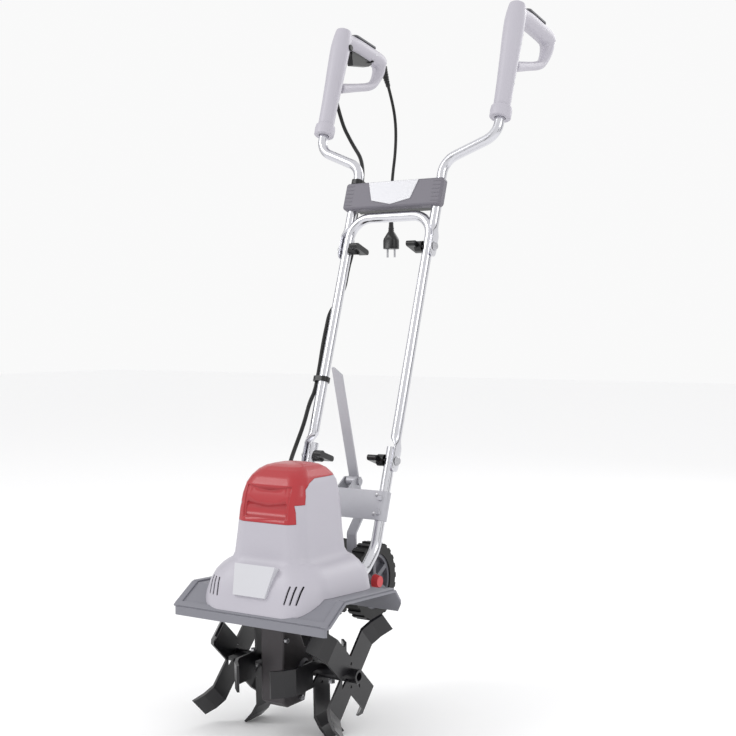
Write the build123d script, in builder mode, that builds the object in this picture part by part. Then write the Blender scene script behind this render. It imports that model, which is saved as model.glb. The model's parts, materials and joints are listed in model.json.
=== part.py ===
"""Electric garden tiller: tine gearbox, motor, fender, folding handle, lift wheels and leads.

Millimetres, +Z up, the front towards -Y.  Everything is set out from the tine shaft's axis,
which runs along X at height AXIS_Z, and is moved onto the base centre when it is written.
"""
from build123d import *
from math import atan, cos, degrees, radians, sin, tan
import os

os.makedirs("parts", exist_ok=True)

# ---------------------------------------------------------------- driving dimensions
FIT = 0.05            # radial clearance of a running fit
GAP = 0.5             # clearance between pieces that move past each other
AXIS_Z = 112.0        # height of the tine shaft

# tines
BLADE_REACH = 111.5
BLADE_WIDTH = 46.0
BLADE_THICK = 4.0
BLADE_BEND = 28.0     # how far a blade's tip is bent out of its star's plane
BLADE_FLAT = 76.0     # radius at which the bend starts
STAR_X = (62.0, 122.0)            # inner and outer stars, from the middle
STAR_TURN = (-2.0, 43.0)          # first blade of each, from upright towards the rear
HUB_BORE = 7.2        # radius
HUB_R = 12.0
HUB_IN = 31.0
HUB_OUT = 140.0
SOCKET_BORE = 7.6     # radius of the hub's open end, for an extension tine
SOCKET_LONG = 42.0
HITCH_X = 84.0        # hitch bolt, from the middle
HITCH_R = 3.0
SHAFT_R = 7.0
SHAFT_HALF = 96.0

# worm drive
WORM_R = 8.0          # pitch radius
WHEEL_R = 24.0        # pitch radius
TOOTH = 1.3           # tooth height above and below the pitch radius
WHEEL_TEETH = 32
WHEEL_WIDTH = 14.0
WORM_PITCH = 4.4
WORM_GAP = 0.35       # between the worm's thread and the wheel's teeth
MOTOR_Y = -(WORM_R + WHEEL_R + 2 * TOOTH + WORM_GAP)   # motor axis, in front of the tine shaft
MOTOR_SHAFT_R = 5.0

# gearbox casting
CASE_HALF = 24.5      # half width along X
CASE_R = 35.0
CASE_WALL = 5.0
CASE_TOP = 257.0
SUMP_Z = 51.0
BEARING_R = 16.0
BEARING_WIDTH = 9.0
CASE_BOLT_R = 2.5

# fender and base plate
FENDER_HALF = 163.0
FENDER_WALL = 4.0
FENDER_LINE = ((-130, 222), (-77, 256), (83, 248), (119, 205))   # top face, front to rear
FENDER_CORNER = (8.0, 17.0)       # cut off the front and rear corners
FENDER_LIP = 14.0                 # turned down along the front edge
PLATE_THICK = 3.0
PLATE_HALF = 100.0

# motor
STATOR_R = 34.0
STATOR_Z = (292.0, 372.0)
ARMATURE_R = 25.0
FAN_R = 32.0

# housing: height, half width, front, rear and corner radius of each section
HOUSING_WALL = 2.6
HOUSING_SECTIONS = (
    (226, 128, -127, 105, 66),
    (250, 125, -122, 104, 63),
    (270, 119, -115, 103, 58),
    (286, 111, -107, 100, 53),
    (297, 101, -99, 95, 48),
    (304, 90, -93, 88, 41),
    (309, 80, -88, 80, 34),
    (318, 75, -85, 75, 30),
    (350, 72, -82, 73, 30),
    (394, 68.5, -78, 71, 29),
    (420, 66, -72, 69, 28),
    (438, 62.5, -65, 66, 27),
    (450, 57, -57, 61, 26),
    (460, 49, -47, 53, 25),
    (466, 40, -37, 43, 23),
    (469, 29, -26, 32, 19),
)
CAP_FRONT_Z = 375.0   # lower edge of the cap at its front corners
CAP_SAG = 11.5        # how far that edge dips between them
CAP_SEAM = ((-72, 375), (-70, 406), (-54, 406.3), (-48, 431), (-36, 440), (-15, 447), (150, 447))
CAP_WALL = 4.5
CABLE_ENTRY = (-46, 62, 417)
RECESS_HALF = 46.0
SEAM = 0.4

# frame tubes
TUBE_R = 10.0
TUBE_WALL = 1.5
TONGUE = 4.0          # thickness of a flattened tube end
TONGUE_HALF = 13.0    # half its width
LOWER_X = 88.0
MIDDLE_X = LOWER_X + TUBE_R + GAP + TONGUE - TUBE_R
UPPER_X = MIDDLE_X + TUBE_R + GAP + TONGUE - TUBE_R
FOLD_Y, FOLD_Z = 188.0, 460.5     # lower fold axis
LEAN = degrees(atan(1 / 3))       # of the handle, from upright towards the rear
UPPER_FOLD = 424.0    # upper fold axis, along the handle from the lower one
TUBE_PAST = 25.0      # a tube runs this far past its fold bolt
TONGUE_PAST = 20.0
TONGUE_LONG = 36.0    # flat length above the bolt
FLARE = 28.0          # from flat to round
ARCH_TOP = 490.0
ARCH_R = 44.0
BOLT_R = 4.0
BOLT_HOLE = 4.3
HEAD_R = 9.0
KNOB_R = 11.0
KNOB_LONG = 26.0
WING_HALF = 24.0

# handle and grips
HANDLE_X = 205.0
SPREAD_LOW, SPREAD_HIGH = 603.0, 650.0    # corners of the outward bend
SPREAD_R = 40.0
GRIP_START = 708.0
GRIP_TUBE_END = 800.0
GRIP_HALF = 18.0
GRIP_WALL = 3.0
GRIP_EDGE = 3.5
COLLAR_R = 25.0
COLLAR_LONG = 18.0

# console
CONSOLE_LOW, CONSOLE_HIGH = 505.0, 562.0
CONSOLE_HALF = 112.0
CONSOLE_FRONT = 17.0
CONSOLE_BACK = 13.0
CONSOLE_WALL = 2.5

# crossmember and lift wheels
CROSS_Z = 353.0
CROSS_LONG = 54.0
SHEET = 2.5
LEVER_HALF = 10.0
LEVER_THICK = 4.0
LEVER_PIN_Y, LEVER_PIN_Z = 197.0, 416.0
LEVER_PIN_R = 4.0
AXLE_Y, AXLE_Z = 194.0, 232.0
AXLE_R = 6.0
WHEEL_OUT = 54.0      # outer face
TYRE_WIDTH = 28.0
TYRE_R = 73.0
RIM_R = 52.0

# leads
LEAD_R = 3.5
CABLE_R = 4.0
PIN_R = 2.4
PIN_ROOT_R = 1.6      # of the part moulded into the plug
PIN_LONG = 19.0
PIN_SPACING = 19.0

# ---------------------------------------------------------------- setting out
pieces = {}
handle = Plane(
    origin=(0, FOLD_Y, FOLD_Z),
    x_dir=(1, 0, 0),
    z_dir=(0, -cos(radians(LEAN)), sin(radians(LEAN))),
)


def keep(name, builder):
    """Store a finished piece under its node name."""
    part = builder.part
    part.label = name
    pieces[name] = part


def side(x):
    """Plane across X: sketch coordinates are (Y, Z)."""
    return Plane(origin=(x, 0, 0), x_dir=(0, 1, 0), z_dir=(1, 0, 0))


def from_front(y):
    """Plane seen from the front: sketch coordinates are (X, Z)."""
    return Plane(origin=(0, y, 0), x_dir=(1, 0, 0), z_dir=(0, -1, 0))


def along_handle(x, s, n=0.0):
    """A point in the handle's own frame: across, up along it, and out of its front."""
    return handle.from_local_coords(Vector(x, s, n))


def across(s):
    """Plane square to the handle at s: sketch coordinates are (X, rearwards)."""
    return Plane(origin=along_handle(0, s), x_dir=(1, 0, 0), z_dir=handle.y_dir)


def soft_path(name, points):
    """Straight runs joined by the largest arcs that fit them."""
    pts = [Vector(*p) for p in points]
    radii = []
    for before, here, after in zip(pts, pts[1:], pts[2:]):
        run = min((here - before).length, (after - here).length)
        turn = radians((here - before).get_angle(after - here))
        radii.append(0.45 * run / tan(turn / 2))
    print(name, "radii", [round(r) for r in radii])
    return FilletPolyline(*pts, radius=radii)


def lead(name, points, radius):
    """A plain round tube along a soft path."""
    with BuildPart() as tube:
        with BuildLine() as path:
            soft_path(name, points)
        with BuildSketch(Plane(origin=path.line @ 0, z_dir=path.line % 0)):
            Circle(radius)
        sweep(path=path.line)
    print(name, "length", round(sum(edge.length for edge in path.edges()), 1))
    keep(name, tube)


def bar(plane, radius, length, mode=Mode.ADD):
    """A round bar standing on a plane."""
    with BuildSketch(plane) as disc:
        Circle(radius)
    extrude(disc.sketch, amount=length, mode=mode)


def tube_along(points, radius, bend, wall=TUBE_WALL):
    """A bent tube whose corners share one bend radius; stays inside the caller's part."""
    with BuildLine() as path:
        FilletPolyline(*points, radius=bend)
    with BuildSketch(Plane(origin=path.line @ 0, z_dir=path.line % 0)) as ring:
        Circle(radius)
        Circle(radius - wall, mode=Mode.SUBTRACT)
    sweep(ring.sketch, path=path.line)


def tongue_end(sign, x, tongue_x, bolt_s):
    """A tube's flattened lower end, with its bolt hole, flaring out to the round tube."""
    flat_top = bolt_s + TONGUE_LONG
    with BuildSketch(Plane(origin=along_handle(sign * (tongue_x - TONGUE / 2), bolt_s),
                           x_dir=handle.y_dir, z_dir=(1, 0, 0))) as flat:
        with Locations(((TONGUE_LONG - TONGUE_PAST) / 2, 0)):
            RectangleRounded(TONGUE_LONG + TONGUE_PAST, 2 * TONGUE_HALF, TONGUE_HALF - 1)
        with Locations((TONGUE_LONG - TONGUE_HALF / 2, 0)):
            Rectangle(TONGUE_HALF, 2 * TONGUE_HALF)
        Circle(BOLT_HOLE, mode=Mode.SUBTRACT)
    extrude(flat.sketch, amount=TONGUE / 2, both=True)
    with BuildSketch(across(flat_top)) as low:
        with Locations((sign * (tongue_x - TONGUE / 2), 0)):
            RectangleRounded(TONGUE, 2 * TONGUE_HALF, TONGUE / 2 - 0.1)
    with BuildSketch(across(flat_top + FLARE)) as high:
        with Locations((sign * x, 0)):
            Circle(TUBE_R)
    loft([low.sketch, high.sketch])


# ---------------------------------------------------------------- tines
def star(sign, x, turn):
    """Four bent blades round a hub, punched for rivets."""
    with BuildPart() as tine:
        with BuildSketch(side(sign * x)):
            with Locations((0, AXIS_Z)):
                Circle(BLADE_WIDTH * 0.72)
        extrude(amount=BLADE_THICK / 2, both=True)
        for number in range(4):
            angle = radians(turn + 90 * number)
            out = Vector(0, sin(angle), cos(angle))
            bend = sign * BLADE_BEND * (-1 if number % 2 else 1)
            face = Plane(origin=(sign * x, 0, AXIS_Z), x_dir=(1, 0, 0), z_dir=Vector(1, 0, 0).cross(out))
            with BuildSketch(face):
                with BuildLine():
                    half = BLADE_THICK / 2
                    mid = (BLADE_FLAT + BLADE_REACH) / 2
                    lean = half if bend > 0 else -half
                    inner = [(-lean, 0), (-lean, BLADE_FLAT + half), (bend * 0.4 - lean, mid + half),
                             (bend - lean, BLADE_REACH)]
                    outer = [(bend + lean, BLADE_REACH - half), (bend * 0.4 + lean, mid - half),
                             (lean, BLADE_FLAT - half), (lean, 0)]
                    Polyline(*inner, *outer, close=True)
                make_face()
            extrude(amount=BLADE_WIDTH / 2, both=True)
        # both corners of a tip are cut, the trailing one further
        for number in range(4):
            angle = turn + 90 * number
            with BuildSketch(side(sign * x - 80)):
                with Locations(Location((0, AXIS_Z), -angle)):
                    for edge, cut in ((BLADE_WIDTH / 2, 24), (-BLADE_WIDTH / 2, 14)):
                        with BuildLine():
                            Polyline((edge * 1.2, BLADE_REACH + 5), (edge * 1.2, BLADE_REACH - cut * 1.2),
                                     (edge * 0.1, BLADE_REACH + 5), close=True)
                        make_face()
            extrude(amount=160, mode=Mode.SUBTRACT)
        with BuildSketch(side(sign * x - 20)):
            with Locations((0, AXIS_Z)):
                Circle(HUB_R)
                with PolarLocations(HUB_R + 8, 4):
                    Circle(2.6)
        extrude(amount=40, mode=Mode.SUBTRACT)
    return tine.part


for place, x, turn in zip(("inner", "outer"), STAR_X, STAR_TURN):
    with BuildPart() as stars:
        add(star(-1, x, turn))
        add(star(1, x, turn))
    keep(f"{place}_stars", stars)

with BuildPart() as hub_tubes:
    for sign in (-1, 1):
        start = Plane(origin=(sign * HUB_IN, 0, AXIS_Z), z_dir=(sign, 0, 0))
        bar(start, HUB_R, HUB_OUT - HUB_IN)
        bar(start, HUB_BORE, HUB_OUT - HUB_IN, Mode.SUBTRACT)
        bar(start.offset(HUB_OUT - HUB_IN - SOCKET_LONG), SOCKET_BORE, SOCKET_LONG, Mode.SUBTRACT)
        bar(Plane(origin=(sign * HITCH_X, 0, AXIS_Z - 30)), HITCH_R, 60, Mode.SUBTRACT)
keep("hub_tubes", hub_tubes)

with BuildPart() as tine_shaft:
    bar(side(-SHAFT_HALF).shift_origin((-SHAFT_HALF, 0, AXIS_Z)), SHAFT_R, 2 * SHAFT_HALF)
    for sign in (-1, 1):
        bar(Plane(origin=(sign * HITCH_X, 0, AXIS_Z - 30), z_dir=(0, 0, 1)), HITCH_R, 60, Mode.SUBTRACT)
keep("tine_shaft", tine_shaft)

with BuildPart() as hitch_bolts:
    for sign in (-1, 1):
        foot = Plane(origin=(sign * HITCH_X, 0, AXIS_Z - HUB_R - 7), z_dir=(0, 0, 1))
        bar(foot, HITCH_R, 2 * HUB_R + 10)
        with BuildSketch(foot):
            RegularPolygon(6, 6)
        extrude(amount=6)
        with BuildSketch(foot.offset(2 * HUB_R + 8)):
            RegularPolygon(6, 6)
        extrude(amount=5)
keep("hitch_bolts", hitch_bolts)

# ---------------------------------------------------------------- worm drive
with BuildPart() as worm_wheel:
    with BuildSketch(side(-WHEEL_WIDTH / 2)):
        with Locations((0, AXIS_Z)):
            Circle(WHEEL_R - TOOTH)
            with PolarLocations(WHEEL_R - 0.5, WHEEL_TEETH):
                Rectangle(2 * TOOTH + 1, 2.3)
            Circle(SHAFT_R, mode=Mode.SUBTRACT)
    extrude(amount=WHEEL_WIDTH)
keep("worm_wheel", worm_wheel)

worm_axis = Plane(origin=(0, MOTOR_Y, 0))
# ---------------------------------------------------------------- gearbox castings
WORM_BORE = WORM_R + TOOTH + 1.5
LOW_BEARING_Z = 66.0
HIGH_BEARING_Z = 236.0
LOW_BEARING_R = 11.0
HIGH_BEARING_R = 13.0
with BuildPart() as case:
    with BuildSketch(side(-CASE_HALF)):
        with Locations((0, AXIS_Z)):
            Circle(CASE_R)
        with BuildLine():
            Polyline((24, AXIS_Z), (MOTOR_Y + 26, 178), (MOTOR_Y + 21, CASE_TOP), (MOTOR_Y - 26, CASE_TOP),
                     (MOTOR_Y - 24, 62), (MOTOR_Y - 8, SUMP_Z), (6, SUMP_Z), close=True)
        make_face()
    extrude(amount=2 * CASE_HALF)
    fillet(case.edges().filter_by(GeomType.LINE).filter_by(lambda e: abs(e.center().X) > CASE_HALF - 1), 5)
    bar(side(-WHEEL_WIDTH / 2 - 2).shift_origin((-WHEEL_WIDTH / 2 - 2, 0, AXIS_Z)), WHEEL_R + TOOTH + 2,
        WHEEL_WIDTH + 4, Mode.SUBTRACT)
    bar(worm_axis.offset(LOW_BEARING_Z + 2), WORM_BORE, CASE_TOP, Mode.SUBTRACT)
    bar(worm_axis.offset(LOW_BEARING_Z - BEARING_WIDTH / 2), LOW_BEARING_R, BEARING_WIDTH, Mode.SUBTRACT)
    bar(worm_axis.offset(HIGH_BEARING_Z - BEARING_WIDTH / 2), HIGH_BEARING_R, CASE_TOP, Mode.SUBTRACT)
    bar(side(-CASE_HALF - 1).shift_origin((-CASE_HALF - 1, 0, AXIS_Z)), SHAFT_R + 1, 2 * CASE_HALF + 2, Mode.SUBTRACT)
    for sign in (-1, 1):
        bar(Plane(origin=(sign * (CASE_HALF - BEARING_WIDTH - 3), 0, AXIS_Z), z_dir=(sign, 0, 0)), BEARING_R,
            BEARING_WIDTH + 4, Mode.SUBTRACT)
CASE_BOLTS = ((28, 98), (28, 126), (-8, 61), (MOTOR_Y - 18, 100), (MOTOR_Y - 18, 170), (MOTOR_Y - 20, 240),
              (MOTOR_Y + 16, 195))
for sign, which in ((-1, "left"), (1, "right")):
    with BuildPart() as half:
        add(case.part)
        split(bisect_by=Plane.YZ, keep=Keep.TOP if sign > 0 else Keep.BOTTOM)
        with BuildSketch(side(-CASE_HALF - 1)):
            with Locations(*CASE_BOLTS):
                Circle(CASE_BOLT_R)
        extrude(amount=2 * CASE_HALF + 2, mode=Mode.SUBTRACT)
    keep(f"gearbox_{which}_case", half)

with BuildPart() as case_bolts:
    with BuildSketch(side(-CASE_HALF)):
        with Locations(*CASE_BOLTS):
            Circle(CASE_BOLT_R)
    extrude(amount=2 * CASE_HALF + 2)
    with BuildSketch(side(CASE_HALF)):
        with Locations(*CASE_BOLTS):
            Circle(4.5)
            RegularPolygon(2, 6, mode=Mode.SUBTRACT)
    extrude(amount=4.5)
keep("case_bolts", case_bolts)

with BuildPart() as bearings:
    for sign in (-1, 1):
        with BuildSketch(Plane(origin=(sign * (CASE_HALF - BEARING_WIDTH - 3), 0, AXIS_Z), z_dir=(sign, 0, 0))):
            Circle(BEARING_R)
            Circle(SHAFT_R + FIT, mode=Mode.SUBTRACT)
        extrude(amount=BEARING_WIDTH)
    for z, r in ((LOW_BEARING_Z, LOW_BEARING_R), (HIGH_BEARING_Z, HIGH_BEARING_R)):
        with BuildSketch(worm_axis.offset(z - BEARING_WIDTH / 2)):
            Circle(r)
            Circle(MOTOR_SHAFT_R + FIT, mode=Mode.SUBTRACT)
        extrude(amount=BEARING_WIDTH)
    # a lip seal outside each tine shaft bearing
    for sign in (-1, 1):
        with BuildSketch(Plane(origin=(sign * (CASE_HALF - 3), 0, AXIS_Z), z_dir=(sign, 0, 0))):
            Circle(BEARING_R)
            Circle(SHAFT_R + FIT, mode=Mode.SUBTRACT)
        extrude(amount=4)
keep("bearings_and_seals", bearings)

# ---------------------------------------------------------------- fender and base plate
(FY0, FZ0), (FY1, FZ1), (FY2, FZ2), (FY3, FZ3) = FENDER_LINE
with BuildPart() as fender:
    with BuildSketch(side(-FENDER_HALF)):
        with BuildLine() as top_line:
            Polyline(*FENDER_LINE)
            offset(amount=FENDER_WALL, side=Side.RIGHT)
        make_face()
    extrude(amount=2 * FENDER_HALF)
    with BuildSketch(side(-FENDER_HALF)):
        with BuildLine():
            Polyline((FY0, FZ0), (FY0, FZ0 - FENDER_LIP), (FY0 + FENDER_WALL, FZ0 - FENDER_LIP), (FY0 + FENDER_WALL, FZ0),
                     close=True)
        make_face()
    extrude(amount=2 * FENDER_HALF)
    for sign in (-1, 1):
        with BuildSketch(Plane.XY.offset(150)):
            for y, cut, way in ((FY0 - 1, FENDER_CORNER[0], 1), (FY3 + 5, FENDER_CORNER[1] + 5, -1)):
                with BuildLine():
                    Polyline((sign * (FENDER_HALF + 1), y), (sign * (FENDER_HALF + 1), y + way * (cut + 2)),
                             (sign * (FENDER_HALF - cut - 1), y), close=True)
                make_face()
        extrude(amount=150, mode=Mode.SUBTRACT)
    with BuildSketch(Plane.XY.offset(230)):
        with Locations((0, MOTOR_Y - 2)):
            RectangleRounded(2 * CASE_HALF + 2, 54, 6)
    extrude(amount=60, mode=Mode.SUBTRACT)
keep("fender", fender)

LOWER_END_Y = 20.0
LOWER_RUN_Z = CASE_TOP + PLATE_THICK + TUBE_R
with BuildPart() as base_plate:
    with BuildSketch(Plane.XY.offset(CASE_TOP)):
        with Locations((0, 10)):
            RectangleRounded(2 * PLATE_HALF, 150, 12)
        with Locations((0, MOTOR_Y)):
            Circle(HIGH_BEARING_R, mode=Mode.SUBTRACT)
    extrude(amount=PLATE_THICK)
keep("base_plate", base_plate)

# ---------------------------------------------------------------- motor
with BuildPart() as armature:
    bar(worm_axis.offset(LOW_BEARING_Z - BEARING_WIDTH / 2), MOTOR_SHAFT_R, 410 - LOW_BEARING_Z)
    for z, r, long in ((STATOR_Z[0] + 8, ARMATURE_R, 64), (STATOR_Z[0] - 2, 20, 84), (STATOR_Z[1] + 8, 14, 18)):
        bar(worm_axis.offset(z), r, long)
    bar(worm_axis.offset(AXIS_Z - 22), WORM_R - TOOTH, 44)
    for number in range(10):
        bar(worm_axis.offset(AXIS_Z - 21.5 + WORM_PITCH * number), WORM_R + TOOTH, WORM_PITCH * 0.4)
keep("armature", armature)

with BuildPart() as motor_stator:
    with BuildSketch(worm_axis.offset(STATOR_Z[0])):
        Circle(STATOR_R)
        Circle(ARMATURE_R + 1, mode=Mode.SUBTRACT)
    extrude(amount=STATOR_Z[1] - STATOR_Z[0])
    with BuildSketch(worm_axis.offset(STATOR_Z[1])):
        Circle(STATOR_R - 4)
        Circle(ARMATURE_R + 4, mode=Mode.SUBTRACT)
    extrude(amount=10)
    # end plates, tie bars and the two carbon brushes
    for z in (CASE_TOP + PLATE_THICK, STATOR_Z[1] + 30):
        with BuildSketch(worm_axis.offset(z)):
            Circle(STATOR_R + 1)
            Circle(MOTOR_SHAFT_R + FIT if z > STATOR_Z[1] else HIGH_BEARING_R, mode=Mode.SUBTRACT)
        extrude(amount=6)
    with BuildSketch(worm_axis.offset(CASE_TOP + PLATE_THICK)):
        with PolarLocations(STATOR_R + 1, 4, start_angle=45):
            Rectangle(8, 8)
        Circle(STATOR_R, mode=Mode.SUBTRACT)
    extrude(amount=STATOR_Z[1] + 36 - CASE_TOP - PLATE_THICK)
    for sign in (-1, 1):
        brush = Plane(origin=(sign * (14 + FIT), MOTOR_Y, STATOR_Z[1] + 19), x_dir=(0, 1, 0), z_dir=(sign, 0, 0))
        with BuildSketch(brush):
            Rectangle(8, 10)
        extrude(amount=20)
keep("motor_stator", motor_stator)

with BuildPart() as cooling_fan:
    with BuildSketch(worm_axis.offset(272)):
        Circle(FAN_R)
        Circle(MOTOR_SHAFT_R, mode=Mode.SUBTRACT)
    extrude(amount=3)
    with BuildSketch(worm_axis.offset(272)):
        with PolarLocations(FAN_R / 2 + 5, 11):
            Rectangle(FAN_R - 12, 2.2)
        Circle(9)
        Circle(MOTOR_SHAFT_R, mode=Mode.SUBTRACT)
    extrude(amount=14)
keep("cooling_fan", cooling_fan)


# ---------------------------------------------------------------- housing and cap
def housing_block(inset):
    """The housing's outline as a block, smaller all round by inset."""
    with BuildPart() as block:
        for number, (z, half, front, rear, corner) in enumerate(HOUSING_SECTIONS):
            top = number == len(HOUSING_SECTIONS) - 1
            with BuildSketch(Plane.XY.offset(z - (inset if top else 0))):
                with Locations((0, (front + rear) / 2)):
                    RectangleRounded(2 * (half - inset), rear - front - 2 * inset, corner - inset)
        loft(ruled=True)
    return block.part


def cap_region(grow):
    """Everything above the cap's stepped lower edge, which dips at the front."""
    with BuildPart() as region:
        with BuildSketch(side(-200)):
            with BuildLine():
                Polyline((-150, CAP_FRONT_Z - CAP_SAG - grow), *((y + grow, z - grow) for y, z in CAP_SEAM),
                         (150, 600), (-150, 600), close=True)
            make_face()
        extrude(amount=400)
        with BuildSketch(from_front(-150)):
            with BuildLine():
                ThreePointArc((-62, CAP_FRONT_Z - grow), (0, CAP_FRONT_Z - CAP_SAG - grow), (62, CAP_FRONT_Z - grow))
                Polyline((62, CAP_FRONT_Z - grow), (120, CAP_FRONT_Z + 1 - grow), (120, 300), (-120, 300),
                         (-120, CAP_FRONT_Z + 1 - grow), (-62, CAP_FRONT_Z - grow))
            make_face()
        extrude(amount=-90, mode=Mode.SUBTRACT)
    return region.part


def front_recess(depth, *outline):
    """A pocket of even depth in the cap's front, within the outline given in X and Z."""
    with BuildPart() as pocket:
        with BuildSketch(from_front(-150)):
            with BuildLine():
                Polyline(*outline, close=True)
            make_face()
        extrude(amount=-120)
        add(housing_block(depth), mode=Mode.SUBTRACT)
    return pocket.part


outer_block = housing_block(0)
inner_block = housing_block(HOUSING_WALL)
with BuildPart() as below_fender:
    with BuildSketch(side(-200)):
        with BuildLine():
            Polyline((FY0 - 60, FZ0 - 60 * (FZ1 - FZ0) / (FY1 - FY0) + SEAM), (FY1, FZ1 + SEAM), (FY2, FZ2 + SEAM),
                     (FY3, FZ3 + SEAM), (FY3, 100), (FY0 - 60, 100), close=True)
        make_face()
    extrude(amount=400)

with BuildPart() as motor_housing:
    add(outer_block)
    add(inner_block, mode=Mode.SUBTRACT)
    add(below_fender.part, mode=Mode.SUBTRACT)
    add(cap_region(SEAM), mode=Mode.SUBTRACT)
    for sign in (-1, 1):
        with BuildSketch(Plane(origin=(sign * LOWER_X, 70, LOWER_RUN_Z + 9), x_dir=(0, 0, 1), z_dir=(0, 1, 0))):
            SlotOverall(52, 2 * TUBE_R + 6)
        extrude(amount=60, mode=Mode.SUBTRACT)
        for number in range(3):
            slit = Plane(origin=(sign * (72 + 10 * number), -150, 264), x_dir=(sign, 0, 0), z_dir=(0, -sign, 0))
            with BuildSketch(slit):
                SlotOverall(30, 3.5, rotation=82)
            extrude(amount=90 if sign < 0 else -90, mode=Mode.SUBTRACT)
    bar(Plane(origin=CABLE_ENTRY, z_dir=(-0.55, 0.8, 0.25)), CABLE_R + 2.5, 60, Mode.SUBTRACT)
keep("motor_housing", motor_housing)

with BuildPart() as motor_cap:
    add(outer_block)
    add(housing_block(CAP_WALL), mode=Mode.SUBTRACT)
    add(cap_region(0), mode=Mode.INTERSECT)
    add(front_recess(1.3, (-RECESS_HALF, 382), (RECESS_HALF, 382), (RECESS_HALF, 436), (0, 429), (-RECESS_HALF, 436)),
        mode=Mode.SUBTRACT)
    add(front_recess(2.8, (4 - RECESS_HALF, 384), (RECESS_HALF - 4, 384), (RECESS_HALF - 4, 408), (0, 402),
                     (4 - RECESS_HALF, 408)), mode=Mode.SUBTRACT)
keep("motor_cap", motor_cap)

with BuildPart() as front_badge:
    badge_plane = Plane(origin=(0, -111, 280), x_dir=(1, 0, 0), z_dir=(0, -1, 0.35))
    with BuildSketch(badge_plane):
        with BuildLine():
            Polyline((-42, 26), (42, 26), (33, -27), (-33, -27), close=True)
        make_face()
    extrude(amount=12, both=True)
    add(outer_block, mode=Mode.SUBTRACT)
    with BuildSketch(badge_plane.offset(6)):
        Rectangle(200, 200)
    extrude(amount=30, mode=Mode.SUBTRACT)
keep("front_badge", front_badge)

# ---------------------------------------------------------------- lower tubes and crossmember
for sign, which in ((-1, "left"), (1, "right")):
    with BuildPart() as tube:
        foot_y = FOLD_Y - (FOLD_Z - 304) * tan(radians(LEAN))
        tube_along([along_handle(sign * LOWER_X, TUBE_PAST), (sign * LOWER_X, foot_y, 304),
                    (sign * LOWER_X, 97, LOWER_RUN_Z), (sign * LOWER_X, LOWER_END_Y, LOWER_RUN_Z)], TUBE_R, [60, 30])
        bar(Plane(origin=(sign * (LOWER_X - 20), FOLD_Y, FOLD_Z), z_dir=(sign, 0, 0)), BOLT_R, 40, Mode.SUBTRACT)
    keep(f"lower_{which}_tube", tube)

CROSS_S = (CROSS_Z - FOLD_Z) / cos(radians(LEAN))
with BuildPart() as crossmember:
    with BuildSketch(across(CROSS_S)):
        RectangleRounded(2 * (LOWER_X + TUBE_R + SHEET), 2 * (TUBE_R + SHEET), TUBE_R + SHEET - 0.1)
        RectangleRounded(2 * (LOWER_X + TUBE_R), 2 * TUBE_R, TUBE_R - 0.1, mode=Mode.SUBTRACT)
        with Locations((0, TUBE_R + 4)):
            Rectangle(3 * LOWER_X, 2 * TUBE_R, mode=Mode.SUBTRACT)
    extrude(amount=CROSS_LONG)
channel = crossmember.part
with BuildPart() as crossmember:
    add(channel)
    for sign in (-1, 1):
        for s in (CROSS_S + 14, CROSS_S + 40):
            with BuildSketch(Plane(origin=along_handle(sign * LOWER_X, s, TUBE_R + SHEET), z_dir=handle.z_dir)):
                Circle(5.5)
            extrude(amount=3, taper=25)
keep("crossmember", crossmember)

# ---------------------------------------------------------------- lever bracket, lever and wheels
EAR_X = LEVER_HALF + 1.5
with BuildPart() as lever_bracket:
    for sign in (-1, 1):
        with BuildSketch(side(sign * (EAR_X + SHEET / 2))):
            with BuildLine():
                Polyline((LEVER_PIN_Y + 9, LEVER_PIN_Z + 8), (LEVER_PIN_Y - 8, LEVER_PIN_Z + 9), (158, 404), (146, 362),
                         (154, 358), (LEVER_PIN_Y + 9, LEVER_PIN_Z - 8), close=True)
            make_face()
            with Locations((LEVER_PIN_Y, LEVER_PIN_Z)):
                Circle(LEVER_PIN_R, mode=Mode.SUBTRACT)
        extrude(amount=SHEET / 2, both=True)
    with BuildSketch(across(CROSS_S + 2)):
        with Locations((0, 1 - TUBE_R)):
            Rectangle(2 * EAR_X + 2 * SHEET, 2)
    extrude(amount=CROSS_LONG - 4)
    with BuildSketch(across(CROSS_S - 20)):
        with Locations((0, -TUBE_R - 20)):
            Rectangle(60, 40)
    extrude(amount=CROSS_LONG + 60, mode=Mode.SUBTRACT)
ears = lever_bracket.part
with BuildPart() as lever_bracket:
    add(ears)
    # the lever's pivot pin, riveted over at both ends
    bar(side(-EAR_X - SHEET - 4).shift_origin((-EAR_X - SHEET - 4, LEVER_PIN_Y, LEVER_PIN_Z)), LEVER_PIN_R,
        2 * (EAR_X + SHEET + 4))
    for sign in (-1, 1):
        bar(Plane(origin=(sign * (EAR_X + SHEET), LEVER_PIN_Y, LEVER_PIN_Z), z_dir=(sign, 0, 0)), 7, 4)
keep("lever_bracket", lever_bracket)

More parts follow.
